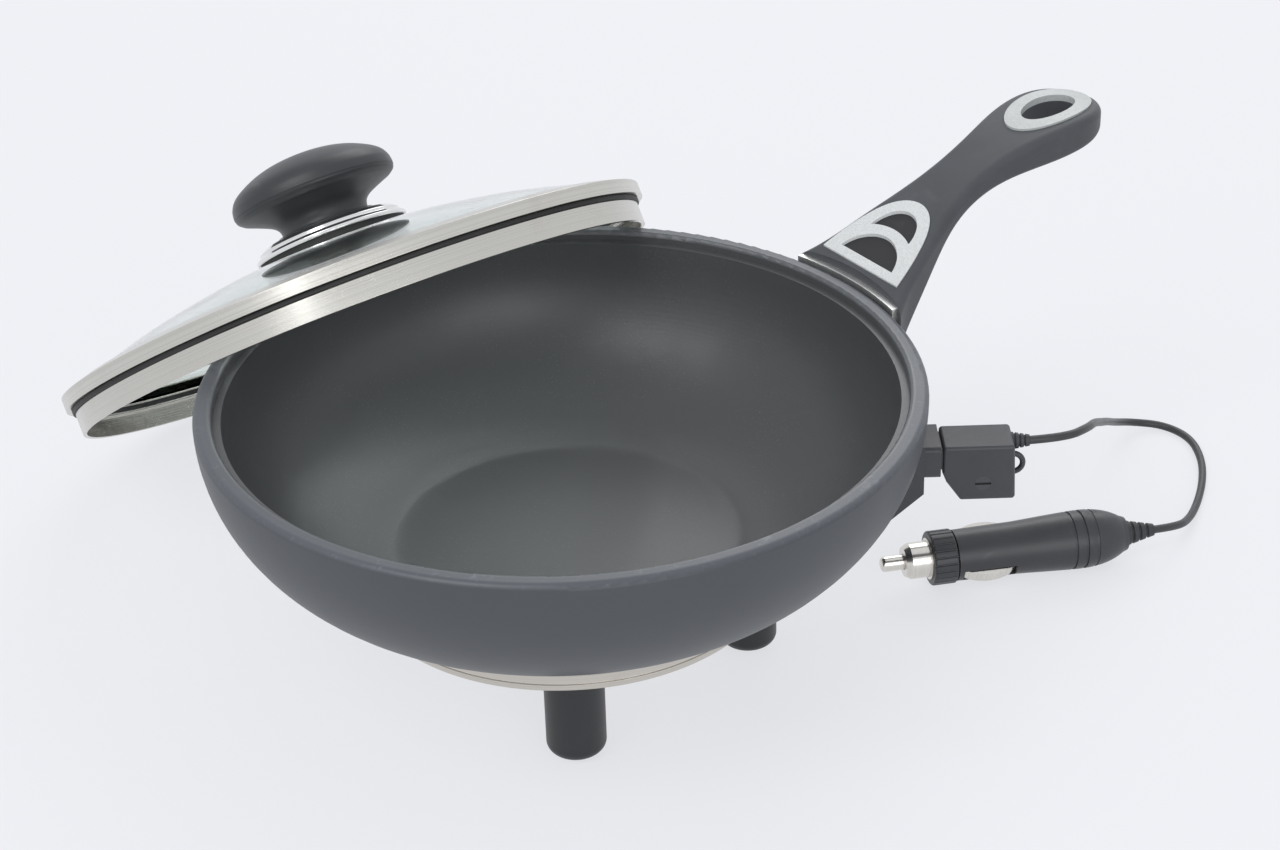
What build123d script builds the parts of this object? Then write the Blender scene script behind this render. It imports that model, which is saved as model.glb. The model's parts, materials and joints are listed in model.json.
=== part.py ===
from build123d import *

import math
import os

# A small low-voltage electric skillet with its glass lid leaning on the rim.
# Everything is drawn on the pan's axis with the floor at z = 0, in millimetres.
# +X points to the power inlet, +Z is up. At the end every piece is moved so that
# the origin is the bottom centre of the object without its cord and plug.

# ---------------------------------------------------------------- shared
STANDING = (Align.CENTER, Align.CENTER, Align.MIN)
BEYOND = 1.0
HALF_SPACE = 100.0
THREAD_CLEARANCE = 0.05
EASY_CLEARANCE = 0.1
BORE_RELIEF = 0.4
SLOT_WIDTH = 0.8
SLOT_DEPTH = 0.5

# ---------------------------------------------------------------- pan
RIM_RADIUS = 100.0
RIM_Z = 86.0
RIM_ROUND = 1.8
BOWL_FLAT_RADIUS = 40.4
BOWL_BOTTOM_Z = 33.5
CAVITY_RADIUS = 92.6
CAVITY_TOP_Z = 78.0
CAVITY_FLAT_RADIUS = 40.0
CAVITY_FLOOR_Z = 37.5
LEDGE_Z = 83.0
LEDGE_RADIUS = 94.8
LEDGE_ROUND = 1.2
BOWL_POWERS = (2.16, 2.01)
CURVE_STEPS = 9

# ---------------------------------------------------------------- base
BASE_RADIUS = 58.9
BASE_WALL = 3.0
BASE_BOTTOM_Z = 25.5
BASE_TOP_Z = 43.0
COVER_THICKNESS = 2.0
COVER_CLEARANCE = 0.2
ELEMENT_RADIUS = 43.0
ELEMENT_THICKNESS = 2.4
ELEMENT_TAB = (12.0, 14.0, 1.0)
INSULATION_THICKNESS = 2.6
FUSE_SLOT = (16.0, 4.0)
THERMAL_FUSE_RADIUS = 1.2
THERMAL_FUSE_LENGTH = 14.0
BASE_SCREW_CIRCLE = 30.0
BASE_SCREW_ANGLES = (60.0, 180.0, 300.0)
BASE_SCREW_SHANK = 1.6
BASE_SCREW_HEAD = 3.2
BASE_SCREW_HEAD_HEIGHT = 1.5
BASE_SCREW_TOP_Z = 36.0

# ---------------------------------------------------------------- feet
FOOT_CIRCLE = 50.3
FOOT_ANGLES = {"front": -88.5, "right": -1.4, "rear": 134.0}
FOOT_RADIUS = 8.25
FOOT_ROUND = 3.0
FOOT_PAD_RADIUS = 5.2
FOOT_PAD_HEIGHT = 2.0
FOOT_PAD_ROUND = 1.0
FOOT_BOTTOM_Z = 1.0
FOOT_BORE = 4.2
FOOT_BORE_TOP_Z = 12.0
FOOT_SCREW_SHANK = 1.9
FOOT_SCREW_HEAD_HEIGHT = 2.4
FOOT_BOSS_RADIUS = 4.6
FOOT_BOSS_HEIGHT = 3.0

# ---------------------------------------------------------------- handle
HANDLE_ANGLE = 33.6
HANDLE_TIP = 191.2
HANDLE_RISE = 1.8
HANDLE_SLOPE = 0.622
HANDLE_DROOP = 0.0000316
HANDLE_PLAN = (
    (97, 26.5), (108, 18.8), (118, 15.2), (128, 11.8), (140, 9.6),
    (152, 10.4), (163, 12.8), (173, 14), (182, 12.6), (188, 8.2),
)
HANDLE_UNDERSIDE = ((97, 71), (112, 81.5), (126, 95.4), (150, 106.5), (172, 110.6), (191.2, 114.5))
HANDLE_ROUND = 2.4
HANDLE_CURVE_STEPS = 7
HANDLE_CLEAR = 3.0
BRACKET_INNER = 100.4
BRACKET_OUTER = 102.4
BRACKET_WIDTH = 44.0
BRACKET_Z = (66.0, 86.6)
TANG_WIDTH = 12.0
TANG_THICKNESS = 2.4
TANG_LINE = ((101.2, 80.5), (126.0, 98.8), (152.0, 111.4))
HANDLE_BOSS = (86.0, 100.2, 28.0, 64.0, 80.0)
BRACKET_SCREW_OFFSET = 9.0
BRACKET_SCREW_Z = 74.0
BRACKET_SCREW_SHANK = 1.9
BRACKET_SCREW_HEAD = 3.2
BRACKET_SCREW_HEAD_HEIGHT = 1.8
BRACKET_SCREW_POCKET = 3.6
BRACKET_SCREW_INNER = 95.5
INLAY_PLAN = ((103.6, 17), (109, 15.6), (114.5, 13.6), (119.5, 11), (123.5, 7.2))
INLAY_TIP = 125.8
INLAY_PROUD = 0.4
INLAY_DEEP = 1.4
LOWER_WINDOW = ((106.0, 11.6), (109.3, 9.8), (112.0, 6.2))
LOWER_WINDOW_TIP = 113.5
UPPER_WINDOW_SIDE = (114.6, 8.6)
UPPER_WINDOW_TIPS = (116.2, 122.2)
WINDOW_SUNK = 0.5
POCKET_GAP = 0.06
RING_CENTRE = 174.2
RING_OUTER = (14.6, 10.1)
RING_INNER = (9.2, 6.0)
RING_PROUD = 0.6
HANDLE_SCREW_AT = 144.0
HANDLE_SCREW_HEAD = 2.2
HANDLE_SCREW_POCKET = 2.7
HANDLE_SCREW_SHANK = 1.2
HANDLE_SCREW_Z = (104.0, 105.0, 110.4)

# ---------------------------------------------------------------- inlet, on +X
INLET_PROFILE = ((54.0, 25.7), (70.0, 25.7), (99.0, 52.0), (99.0, 67.0), (88.0, 67.0), (54.0, 41.0))
INLET_WIDTH = 16.0
INLET_GAP = 0.08
INLET_CAVITY = ((60.5, 28.0), (69.0, 28.0), (96.8, 53.0), (96.8, 65.0), (88.0, 65.0), (60.5, 44.0))
INLET_CAVITY_WIDTH = 12.0
SHROUD_X = (99.0, 103.6)
SHROUD_WIDTH = 14.8
SHROUD_Z = (56.4, 66.0)
SHROUD_WALL = 1.4
SHROUD_ROUND = 1.5
CONTACT_OFFSET = 3.2
CONTACT_Z = 61.2
PIN_RADIUS = 1.2
PIN_X = (95.6, 103.0)
LEAD_RADIUS = 0.9
LEAD_ROUTE = ((95.6, 60.0), (91.0, 50.5), (74.0, 35.0), (62.0, 31.8), (54.0, 31.8))
LEAD_BEND = 3.0
RING_PORT = (14.0, 27.5, 34.5)

# ---------------------------------------------------------------- connector
CONNECTOR_PROFILE = (
    (104.2, 65.6), (124.0, 65.6), (124.6, 48.6),
    (109.4, 48.6), (105.4, 54.4), (104.2, 57.4),
)
CONNECTOR_WIDTH = 13.0
CONNECTOR_ROUND = 1.0
NOSE_X = (99.4, 104.4)
NOSE_WIDTH = 11.4
NOSE_Z = (58.1, 64.3)
NOSE_ROUND = 0.8
SOCKET_RADIUS = 1.9
SOCKET_BORE = 1.3
SOCKET_X = (99.8, 112.0)
SOCKET_BACK = 4.0
WIRE_BORE = 1.5
CONNECTOR_SCREW = (115.5, 54.0)
CONNECTOR_SCREW_HEAD = 2.2
CONNECTOR_SCREW_HEAD_HEIGHT = 1.2
CONNECTOR_SCREW_SHANK = 1.1
CONNECTOR_SCREW_COVER = 1.0
LOOP_Z = 56.6
LOOP_RADIUS = 2.9
LOOP_WIRE = 0.8
EXIT_Y = 1.4
EXIT_Z = 62.8
CONNECTOR_BOOT = (124.1, 129.0, 2.6, 1.9)
BOOT_ROOT = 1.5

# ---------------------------------------------------------------- cord
CORD_DIAMETER = 2.4
CORD_ROUTE = (
    (129.0, 1.4, 62.8),
    (139.6, 2.4, 62.8),
    (147.2, 11.6, 60.4),
    (150.8, 24.0, 54.4),
    (154.6, 38.6, 46.2),
    (159.0, 55.0, 36.6),
    (163.4, 71.4, 27.2),
    (167.8, 87.8, 17.6),
    (172.4, 102.4, 8.8),
    (179.8, 112.2, 3.0),
    (190.6, 112.4, 1.35),
    (197.6, 103.6, 1.35),
    (198.6, 90.0, 1.35),
    (196.2, 76.4, 1.35),
    (192.0, 63.6, 1.35),
    (187.2, 52.0, 3.2),
    (181.5, 42.0, 7.1),
    (173.0, 37.8, 8.9),
)

# ---------------------------------------------------------------- plug, along its own +X
PLUG_TIP = (90.6, 23.3, 8.9)
PLUG_ANGLE = 10.0
PLUG_ROLL = 30.0
TIP_RADIUS = 2.3
TIP_SPAN = (0.0, 8.4)
TIP_FLANGE = (8.4, 10.0, 3.4)
TIP_ROUND = 1.2
NOSE_OUTLINE = ((6.9, 2.42), (6.9, 4.4), (8.6, 5.4), (14.2, 5.4), (14.2, 6.2), (22.0, 6.2))
NOSE_CHAMBER = (8.2, 3.9)
COLLAR_SPAN = (14.6, 21.8)
COLLAR_RADIUS = 8.1
COLLAR_BORE = 6.25
COLLAR_ROUND = 0.6
COLLAR_GROOVES = 24
COLLAR_GROOVE_RADIUS = 0.35
SPRING_SPAN = (13.2, 14.6)
SPRING_RADII = (3.3, 2.3)
FUSE_SPAN = (14.8, 44.0)
FUSE_RADIUS = 3.1
FUSE_CAP = 5.0
FUSE_CAP_RADIUS = 3.3
SHELL_OUTLINE = (
    (22.2, 7.6), (40.5, 7.8), (48.0, 8.2), (56.0, 8.6), (62.5, 8.7), (68.5, 7.8), (73.5, 5.6),
)
SHELL_END = 75.0
SHELL_END_RADIUS = 5.0
SHELL_BORE = (3.6, 66.0)
CONTACT_SPAN = (24.0, 39.5)
CONTACT_HEIGHT = 4.4
CONTACT_DEPTH = (5.2, 8.6)
CONTACT_BULGE = 2.0
SLOT_CLEARANCE = 0.3
PLUG_SCREW_AT = 52.0
PLUG_SCREW_SHANK = 1.2
PLUG_SCREW_HEAD = 2.6
PLUG_SCREW_HEAD_HEIGHT = 1.6
PLUG_SCREW_END = 5.0
PLUG_SCREW_OFFSET = 6.0
PLUG_BOOT = (75.0, 84.0, 4.0, 2.2)
GRIP_RIBS = 3
GRIP_RIB_START = 57.0
GRIP_RIB_PITCH = 3.4
GRIP_RIB_DEPTH = 0.3
GRIP_RIB_WIDTH = 1.0

# ---------------------------------------------------------------- lid, along its own axis
LID_CENTRE = (-64.4, 97.7, 61.15)
LID_TILT = 36.26
LID_AZIMUTH = 124.18
GLASS_RADIUS = 92.4
GLASS_SPHERE = 259.0
GLASS_TOP = 20.8
GLASS_THICKNESS = 2.8
GLASS_HOLE = 3.2
BAND_RADIUS = 93.9
BAND_WALL = 0.8
BAND_FLANGE = 88.5
BAND_Z = (0.0, 0.6, 3.6, 4.2)
BAND_RISE = 1.7
BAND_ROUND = 0.35
SEAL_RADII = (88.6, 92.3)
SEAL_THICKNESS = 1.5
LIP_RADII = (90.4, 91.6)
LIP_FLANGE = 88.6
LIP_FLANGE_THICKNESS = 0.8
LIP_BOTTOM = -8.2
KNOB_GASKET = (23.4, 21.5)
WASHER_OUTLINE = ((24.4, 21.5), (24.4, 23.2), (22.6, 25.6), (16.5, 27.1))
KNOB_STEM = ((14.0, 27.1), (13.8, 29.3), (16.2, 31.7), (24.6, 35.5), (26.0, 37.5))
KNOB_CAP_EDGE = (26.0, 38.7)
KNOB_DOME = ((21.5, 44.9), (12.0, 48.9))
KNOB_TOP = 50.0
KNOB_BOLT_RADIUS = 2.4
KNOB_BOLT_HEAD = 5.0
KNOB_BOLT_HEAD_HEIGHT = 2.6
KNOB_BOLT_TOP = 42.3
INNER_WASHER = (9.0, 1.4)
INNER_WASHER_DROP = 0.2
WASHER_CLEARANCE = 0.3


def bowl_points(top_radius, flat_radius, top_z, bottom_z):
    """Points of a superellipse quarter from the bowl's top edge to its flat bottom."""
    points = []
    for step in range(CURVE_STEPS + 1):
        angle = math.radians(90.0 * step / CURVE_STEPS)
        across = max(math.cos(angle), 0.0) ** (2 / BOWL_POWERS[0])
        radius = flat_radius + (top_radius - flat_radius) * across
        height = top_z - (top_z - bottom_z) * math.sin(angle) ** (2 / BOWL_POWERS[1])
        points.append((radius, 0, height))
    return points


def bowl_curve(top_radius, flat_radius, top_z, bottom_z):
    points = bowl_points(top_radius, flat_radius, top_z, bottom_z)
    return Spline(*points, tangents=[(0, 0, -1), (-1, 0, 0)])


def spin(edges):
    """The solid swept by an outline in the XZ plane turned once about Z."""
    return revolve(make_face(Curve() + edges), Axis.Z)


def chain(points, close=True):
    """Straight edges in the XZ plane through (radius, height) points."""
    places = [Vector(x, 0, z) for x, z in points]
    if close:
        places.append(places[0])
    return [Line(a, b) for a, b in zip(places, places[1:])]


def quarter(start, end, centre):
    """A quarter circle in the XZ plane between two (radius, height) points."""
    reach = math.dist(start, centre)
    out = (Vector(*start) - Vector(*centre) + Vector(*end) - Vector(*centre)).normalized() * reach
    middle = (centre[0] + out.X, 0, centre[1] + out.Y)
    return ThreePointArc((start[0], 0, start[1]), middle, (end[0], 0, end[1]))


def disc(radius, low, high):
    return Pos(0, 0, low) * Cylinder(radius, high - low, align=STANDING)


def tube(outer, inner, low, high):
    return disc(outer, low, high) - disc(inner, low, high)


def block(x, width, z):
    """A box from x[0] to x[1] and z[0] to z[1], with its width centred on y = 0."""
    middle = Pos((x[0] + x[1]) / 2, 0, (z[0] + z[1]) / 2)
    return middle * Box(x[1] - x[0], width, z[1] - z[0])


def slab(points, width):
    """An (x, z) polygon extruded symmetrically along y."""
    face = make_face(Curve() + chain(points))
    return extrude(face, width / 2, dir=(0, 1, 0), both=True)


def rod(x_from, x_to, radius, y=0.0, z=0.0):
    """A cylinder lying along x."""
    return Pos(x_from, y, z) * Rot(0, 90, 0) * Cylinder(radius, x_to - x_from, align=STANDING)


def cone(x_from, x_to, start, end, y=0.0, z=0.0):
    """A cone lying along x."""
    return Pos(x_from, y, z) * Rot(0, 90, 0) * Cone(start, end, x_to - x_from, align=STANDING)


def one(shape):
    """A shape's only solid, or all of them as one compound."""
    solids = shape.solids()
    return solids[0] if len(solids) == 1 else Compound(solids)


def at_angle(angle):
    return Rot(0, 0, angle)


# ================================================================ pan and base

def bowl_outer(grow=0.0):
    """The pan's outside as one full solid, with its rounded rim."""
    side_z = RIM_Z - RIM_ROUND
    radius = RIM_RADIUS + grow
    bottom = BOWL_BOTTOM_Z - grow
    edges = [
        Line((0, 0, bottom), (BOWL_FLAT_RADIUS, 0, bottom)),
        bowl_curve(radius, BOWL_FLAT_RADIUS, side_z, bottom),
        quarter((radius, side_z), (radius - RIM_ROUND, RIM_Z), (radius - RIM_ROUND, side_z)),
        Line((radius - RIM_ROUND, 0, RIM_Z), (0, 0, RIM_Z)),
        Line((0, 0, RIM_Z), (0, 0, bottom)),
    ]
    return spin(edges)


def bowl_cavity():
    """The cooking space, with the step that the lid's lip drops into."""
    above = RIM_Z + BEYOND
    lip_z = RIM_Z - LEDGE_ROUND
    mouth = LEDGE_RADIUS + LEDGE_ROUND
    edges = [
        Line((0, 0, CAVITY_FLOOR_Z), (CAVITY_FLAT_RADIUS, 0, CAVITY_FLOOR_Z)),
        bowl_curve(CAVITY_RADIUS, CAVITY_FLAT_RADIUS, CAVITY_TOP_Z, CAVITY_FLOOR_Z),
        Line((CAVITY_RADIUS, 0, CAVITY_TOP_Z), (CAVITY_RADIUS, 0, LEDGE_Z)),
        Line((CAVITY_RADIUS, 0, LEDGE_Z), (LEDGE_RADIUS, 0, LEDGE_Z)),
        Line((LEDGE_RADIUS, 0, LEDGE_Z), (LEDGE_RADIUS, 0, lip_z)),
        quarter((LEDGE_RADIUS, lip_z), (mouth, RIM_Z), (mouth, lip_z)),
        Line((mouth, 0, RIM_Z), (mouth, 0, above)),
        Line((mouth, 0, above), (0, 0, above)),
        Line((0, 0, above), (0, 0, CAVITY_FLOOR_Z)),
    ]
    return spin(edges)


def screw_places():
    return [at_angle(angle) * Pos(BASE_SCREW_CIRCLE, 0, 0) for angle in BASE_SCREW_ANGLES]


def bracket_screw_bores(radius, x_from, x_to):
    near = rod(x_from, x_to, radius, -BRACKET_SCREW_OFFSET, BRACKET_SCREW_Z)
    far = rod(x_from, x_to, radius, BRACKET_SCREW_OFFSET, BRACKET_SCREW_Z)
    return at_angle(HANDLE_ANGLE) * (near + far)


def skillet_body(outer, cavity):
    boss = block(HANDLE_BOSS[:2], HANDLE_BOSS[2], HANDLE_BOSS[3:])
    boss &= disc(HANDLE_BOSS[1], *HANDLE_BOSS[3:])
    body = outer + at_angle(HANDLE_ANGLE) * boss - cavity
    thread = BRACKET_SCREW_SHANK + THREAD_CLEARANCE
    body -= bracket_screw_bores(thread, BRACKET_SCREW_INNER - BORE_RELIEF, BRACKET_OUTER)
    for place in screw_places():
        bore_top = BASE_SCREW_TOP_Z + BORE_RELIEF
        body -= place * disc(BASE_SCREW_SHANK + THREAD_CLEARANCE, BASE_BOTTOM_Z, bore_top)
    return body


def base_ring(outer):
    ring = tube(BASE_RADIUS, BASE_RADIUS - BASE_WALL, BASE_BOTTOM_Z, BASE_TOP_Z) - outer
    port = block((BASE_RADIUS - 2 * BASE_WALL, BASE_RADIUS + BASE_WALL), RING_PORT[0], RING_PORT[1:])
    return ring - port


def foot_places():
    return {name: at_angle(angle) * Pos(FOOT_CIRCLE, 0, 0) for name, angle in FOOT_ANGLES.items()}


def base_cover():
    top = BASE_BOTTOM_Z + COVER_THICKNESS
    cover = disc(BASE_RADIUS - BASE_WALL - COVER_CLEARANCE, BASE_BOTTOM_Z, top)
    for place in foot_places().values():
        cover += place * disc(FOOT_BOSS_RADIUS, top, top + FOOT_BOSS_HEIGHT)
    for place in foot_places().values():
        cover -= place * disc(FOOT_SCREW_SHANK + THREAD_CLEARANCE, BASE_BOTTOM_Z, top + FOOT_BOSS_HEIGHT)
    for place in screw_places():
        cover -= place * disc(BASE_SCREW_SHANK + THREAD_CLEARANCE, BASE_BOTTOM_Z, top)
    return cover


def heating_element():
    """The flat element clamped against the bowl's bottom, with two terminal tabs."""
    low = BOWL_BOTTOM_Z - ELEMENT_THICKNESS
    plate = disc(ELEMENT_RADIUS, low, BOWL_BOTTOM_Z)
    length, width, thickness = ELEMENT_TAB
    tabs = block((ELEMENT_RADIUS - length / 2, ELEMENT_RADIUS + length / 2), width, (low, low + thickness))
    plate += tabs - block((ELEMENT_RADIUS, ELEMENT_RADIUS + length), width / 4, (low, BOWL_BOTTOM_Z))
    for place in screw_places():
        plate -= place * disc(BASE_SCREW_SHANK + THREAD_CLEARANCE, low, BOWL_BOTTOM_Z)
    return plate


def insulation_levels():
    high = BOWL_BOTTOM_Z - ELEMENT_THICKNESS
    return high - INSULATION_THICKNESS, high


def insulation_pad():
    low, high = insulation_levels()
    half = FUSE_SLOT[0] / 2
    pad = disc(ELEMENT_RADIUS, low, high) - block((-half, half), FUSE_SLOT[1], (low, high))
    for place in screw_places():
        pad -= place * disc(BASE_SCREW_SHANK + THREAD_CLEARANCE, low, high)
    return pad


def thermal_fuse():
    low, high = insulation_levels()
    half = THERMAL_FUSE_LENGTH / 2
    return rod(-half, half, THERMAL_FUSE_RADIUS, 0, (low + high) / 2)


def base_screws():
    low = BASE_BOTTOM_Z - BASE_SCREW_HEAD_HEIGHT
    screw = disc(BASE_SCREW_HEAD, low, BASE_BOTTOM_Z)
    screw += disc(BASE_SCREW_SHANK, BASE_BOTTOM_Z, BASE_SCREW_TOP_Z)
    slot = block((-BASE_SCREW_HEAD, BASE_SCREW_HEAD), SLOT_WIDTH, (low - BEYOND, low + SLOT_DEPTH))
    return Compound([place * one(screw - slot) for place in screw_places()])


# ================================================================ feet

def foot():
    body = disc(FOOT_RADIUS, FOOT_BOTTOM_Z, BASE_BOTTOM_Z)
    body = fillet(body.edges().sort_by(Axis.Z)[0], FOOT_ROUND)
    body -= disc(FOOT_BORE, FOOT_BOTTOM_Z, FOOT_BORE_TOP_Z)
    body -= disc(FOOT_SCREW_SHANK + THREAD_CLEARANCE, FOOT_BORE_TOP_Z, BASE_BOTTOM_Z)
    return body - disc(FOOT_PAD_RADIUS, FOOT_BOTTOM_Z, FOOT_PAD_HEIGHT)


def foot_pad():
    """A rubber button pressed into the foot, with a flat sole on the floor."""
    sole = disc(FOOT_PAD_RADIUS, 0, FOOT_PAD_HEIGHT)
    sole = fillet(sole.edges().sort_by(Axis.Z)[0], FOOT_PAD_ROUND)
    return sole + disc(FOOT_BORE, FOOT_PAD_HEIGHT, FOOT_BORE_TOP_Z - FOOT_SCREW_HEAD_HEIGHT)


def foot_screws():
    top = BASE_BOTTOM_Z + COVER_THICKNESS + FOOT_BOSS_HEIGHT
    screw = disc(FOOT_BORE - THREAD_CLEARANCE, FOOT_BORE_TOP_Z - FOOT_SCREW_HEAD_HEIGHT, FOOT_BORE_TOP_Z)
    screw += disc(FOOT_SCREW_SHANK, FOOT_BORE_TOP_Z, top)
    return Compound([place * one(screw) for place in foot_places().values()])


# ================================================================ handle, along +x until turned

def grip_top(s):
    along = s - RIM_RADIUS
    return RIM_Z + HANDLE_RISE + HANDLE_SLOPE * along - HANDLE_DROOP * along ** 3


def top_curve(x_from, x_to, offset):
    steps = HANDLE_CURVE_STEPS
    places = [x_from + (x_to - x_from) * step / steps for step in range(steps + 1)]
    return [(x, 0, grip_top(x) + offset) for x in places]


def top_band(below, above):
    """The layer between two offsets of the handle's top surface."""
    start, end = HANDLE_PLAN[0][0], HANDLE_TIP + 2 * BEYOND
    high = top_curve(start, end, above)
    low = top_curve(start, end, -below)
    edges = [Spline(*high), Line(high[-1], low[-1]), Spline(*low), Line(low[0], high[0])]
    return extrude(make_face(Curve() + edges), 2 * HANDLE_PLAN[0][1], dir=(0, 1, 0), both=True)


def mirrored_plan(side, tip, grow=0.0):
    """A face from half-width points on one side, mirrored, with a round end at the tip."""
    wide = [(s, half + grow) for s, half in side]
    wide[0] = (wide[0][0] - grow, wide[0][1])
    right = [(s, -half, 0) for s, half in wide]
    left = [(s, half, 0) for s, half in reversed(wide)]
    curve = Spline(*right, (tip + grow, 0, 0), *left)
    return make_face(Curve() + [curve, Line(left[-1], right[0])])


def column(face):
    return extrude(face, 2 * RIM_Z, dir=(0, 0, 1))


def oval(radii, grow=0.0):
    return Pos(RING_CENTRE, 0, 0) * Ellipse(radii[0] + grow, radii[1] + grow)


def grip_blank():
    """The handle's plan outline and side outline intersected, then rounded."""
    plan = column(mirrored_plan(HANDLE_PLAN, HANDLE_TIP))
    high = top_curve(HANDLE_PLAN[0][0], HANDLE_TIP + BEYOND, 0)
    low = [(x, 0, z) for x, z in HANDLE_UNDERSIDE]
    low[-1] = (HANDLE_TIP + BEYOND, 0, low[-1][2])
    edges = [Spline(*high), Line(high[-1], low[-1]), Spline(*low), Line(low[0], high[0])]
    side = extrude(make_face(Curve() + edges), 2 * HANDLE_PLAN[0][1], dir=(0, 1, 0), both=True)
    blank = plan & side
    long_edges = blank.edges().filter_by(lambda edge: edge.length > HANDLE_TIP / 2)
    return fillet(long_edges, HANDLE_ROUND)


def tang():
    half = TANG_THICKNESS / 2
    upper = [(x, z + half) for x, z in TANG_LINE]
    lower = [(x, z - half) for x, z in reversed(TANG_LINE)]
    return slab(upper + lower, TANG_WIDTH)


def handle_bracket():
    plate = tube(BRACKET_OUTER, BRACKET_INNER, *BRACKET_Z)
    plate &= block((0, HANDLE_TIP), BRACKET_WIDTH, BRACKET_Z)
    bracket = at_angle(HANDLE_ANGLE) * (plate + (tang() - disc(BRACKET_INNER, *BRACKET_Z)))
    thread = BRACKET_SCREW_SHANK + THREAD_CLEARANCE
    bracket -= bracket_screw_bores(thread, BRACKET_INNER - BEYOND, BRACKET_OUTER + BEYOND)
    shank = disc(HANDLE_SCREW_SHANK + THREAD_CLEARANCE, *HANDLE_SCREW_Z[::2])
    return bracket - at_angle(HANDLE_ANGLE) * Pos(HANDLE_SCREW_AT, 0, 0) * shank


def bracket_screws():
    head_end = BRACKET_OUTER + BRACKET_SCREW_HEAD_HEIGHT
    shanks = bracket_screw_bores(BRACKET_SCREW_SHANK, BRACKET_SCREW_INNER, BRACKET_OUTER)
    heads = bracket_screw_bores(BRACKET_SCREW_HEAD, BRACKET_OUTER, head_end)
    return shanks + heads


def inlay_face(grow=0.0):
    return mirrored_plan(INLAY_PLAN, INLAY_TIP, grow)


def lower_window(grow=0.0):
    return mirrored_plan(LOWER_WINDOW, LOWER_WINDOW_TIP, grow)


def upper_window():
    """A crescent between two arcs that share their ends."""
    s, half = UPPER_WINDOW_SIDE
    near, far = UPPER_WINDOW_TIPS
    inner = ThreePointArc((s, -half, 0), (near, 0, 0), (s, half, 0))
    outer = ThreePointArc((s, half, 0), (far, 0, 0), (s, -half, 0))
    return make_face(Curve() + [inner, outer])


def handle_grip():
    grip = grip_blank() - disc(BRACKET_OUTER, 0, 2 * RIM_Z) - tang()
    pocket_layer = top_band(INLAY_DEEP + POCKET_GAP, HANDLE_CLEAR)
    grip -= column(inlay_face(POCKET_GAP)) & pocket_layer
    grip -= column(oval(RING_OUTER, POCKET_GAP)) & pocket_layer
    grip -= column(oval(RING_INNER, POCKET_GAP))
    _, shoulder, top = HANDLE_SCREW_Z
    grip -= Pos(HANDLE_SCREW_AT, 0, 0) * disc(HANDLE_SCREW_POCKET, 0, shoulder)
    grip -= Pos(HANDLE_SCREW_AT, 0, 0) * disc(HANDLE_SCREW_SHANK + THREAD_CLEARANCE, shoulder, top)
    grip = at_angle(HANDLE_ANGLE) * grip
    pocket_end = BRACKET_OUTER + BRACKET_SCREW_HEAD_HEIGHT + BORE_RELIEF
    return grip - bracket_screw_bores(BRACKET_SCREW_POCKET, BRACKET_INNER, pocket_end)


def handle_inlay():
    frame = column(inlay_face()) - column(lower_window()) - column(upper_window())
    return at_angle(HANDLE_ANGLE) * (frame & top_band(INLAY_DEEP, INLAY_PROUD))


def window_pad(face):
    """A dark insert, sunk below the frame."""
    return at_angle(HANDLE_ANGLE) * (column(face) & top_band(INLAY_DEEP, -WINDOW_SUNK))


def hang_ring():
    ring = column(oval(RING_OUTER)) - column(oval(RING_INNER))
    return at_angle(HANDLE_ANGLE) * (ring & top_band(INLAY_DEEP, RING_PROUD))


def handle_screw():
    low, shoulder, top = HANDLE_SCREW_Z
    screw = disc(HANDLE_SCREW_HEAD, low, shoulder) + disc(HANDLE_SCREW_SHANK, shoulder, top)
    return at_angle(HANDLE_ANGLE) * Pos(HANDLE_SCREW_AT, 0, 0) * screw


# ================================================================ power inlet

def inlet_housing():
    """The wedge under the bowl that leads the wires out to the shrouded pins."""
    body = slab(INLET_PROFILE, INLET_WIDTH) - bowl_outer(INLET_GAP)
    body -= disc(BASE_RADIUS + INLET_GAP, 0, BASE_TOP_Z)
    body -= slab(INLET_CAVITY, INLET_CAVITY_WIDTH)
    shroud = block(SHROUD_X, SHROUD_WIDTH, SHROUD_Z)
    shroud = fillet(shroud.edges().filter_by(Axis.X), SHROUD_ROUND)
    mouth_z = (SHROUD_Z[0] + SHROUD_WALL, SHROUD_Z[1] - SHROUD_WALL)
    body += shroud - block(SHROUD_X, SHROUD_WIDTH - 2 * SHROUD_WALL, mouth_z)
    port_x = (BASE_RADIUS - BEYOND, INLET_CAVITY[0][0] + BEYOND)
    body -= block(port_x, RING_PORT[0] - 2 * BEYOND, RING_PORT[1:])
    for y in (-CONTACT_OFFSET, CONTACT_OFFSET):
        body -= rod(INLET_CAVITY[2][0] - 2 * BEYOND, SHROUD_X[0], PIN_RADIUS, y, CONTACT_Z)
    return body


def inlet_pins():
    pins = [rod(*PIN_X, PIN_RADIUS, y, CONTACT_Z) for y in (-CONTACT_OFFSET, CONTACT_OFFSET)]
    return Compound([one(pin) for pin in pins])


def round_wire(points, radius, bends):
    """A round wire along straight runs joined by tangent arcs."""
    path = FilletPolyline(*points, radius=bends)
    start = Plane(origin=path @ 0, z_dir=path % 0)
    return sweep(start * Circle(radius), path=path)


def internal_lead(y):
    points = [(x, y, z) for x, z in LEAD_ROUTE]
    return round_wire(points, LEAD_RADIUS, [LEAD_BEND] * (len(points) - 2))


# ================================================================ connector

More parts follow.
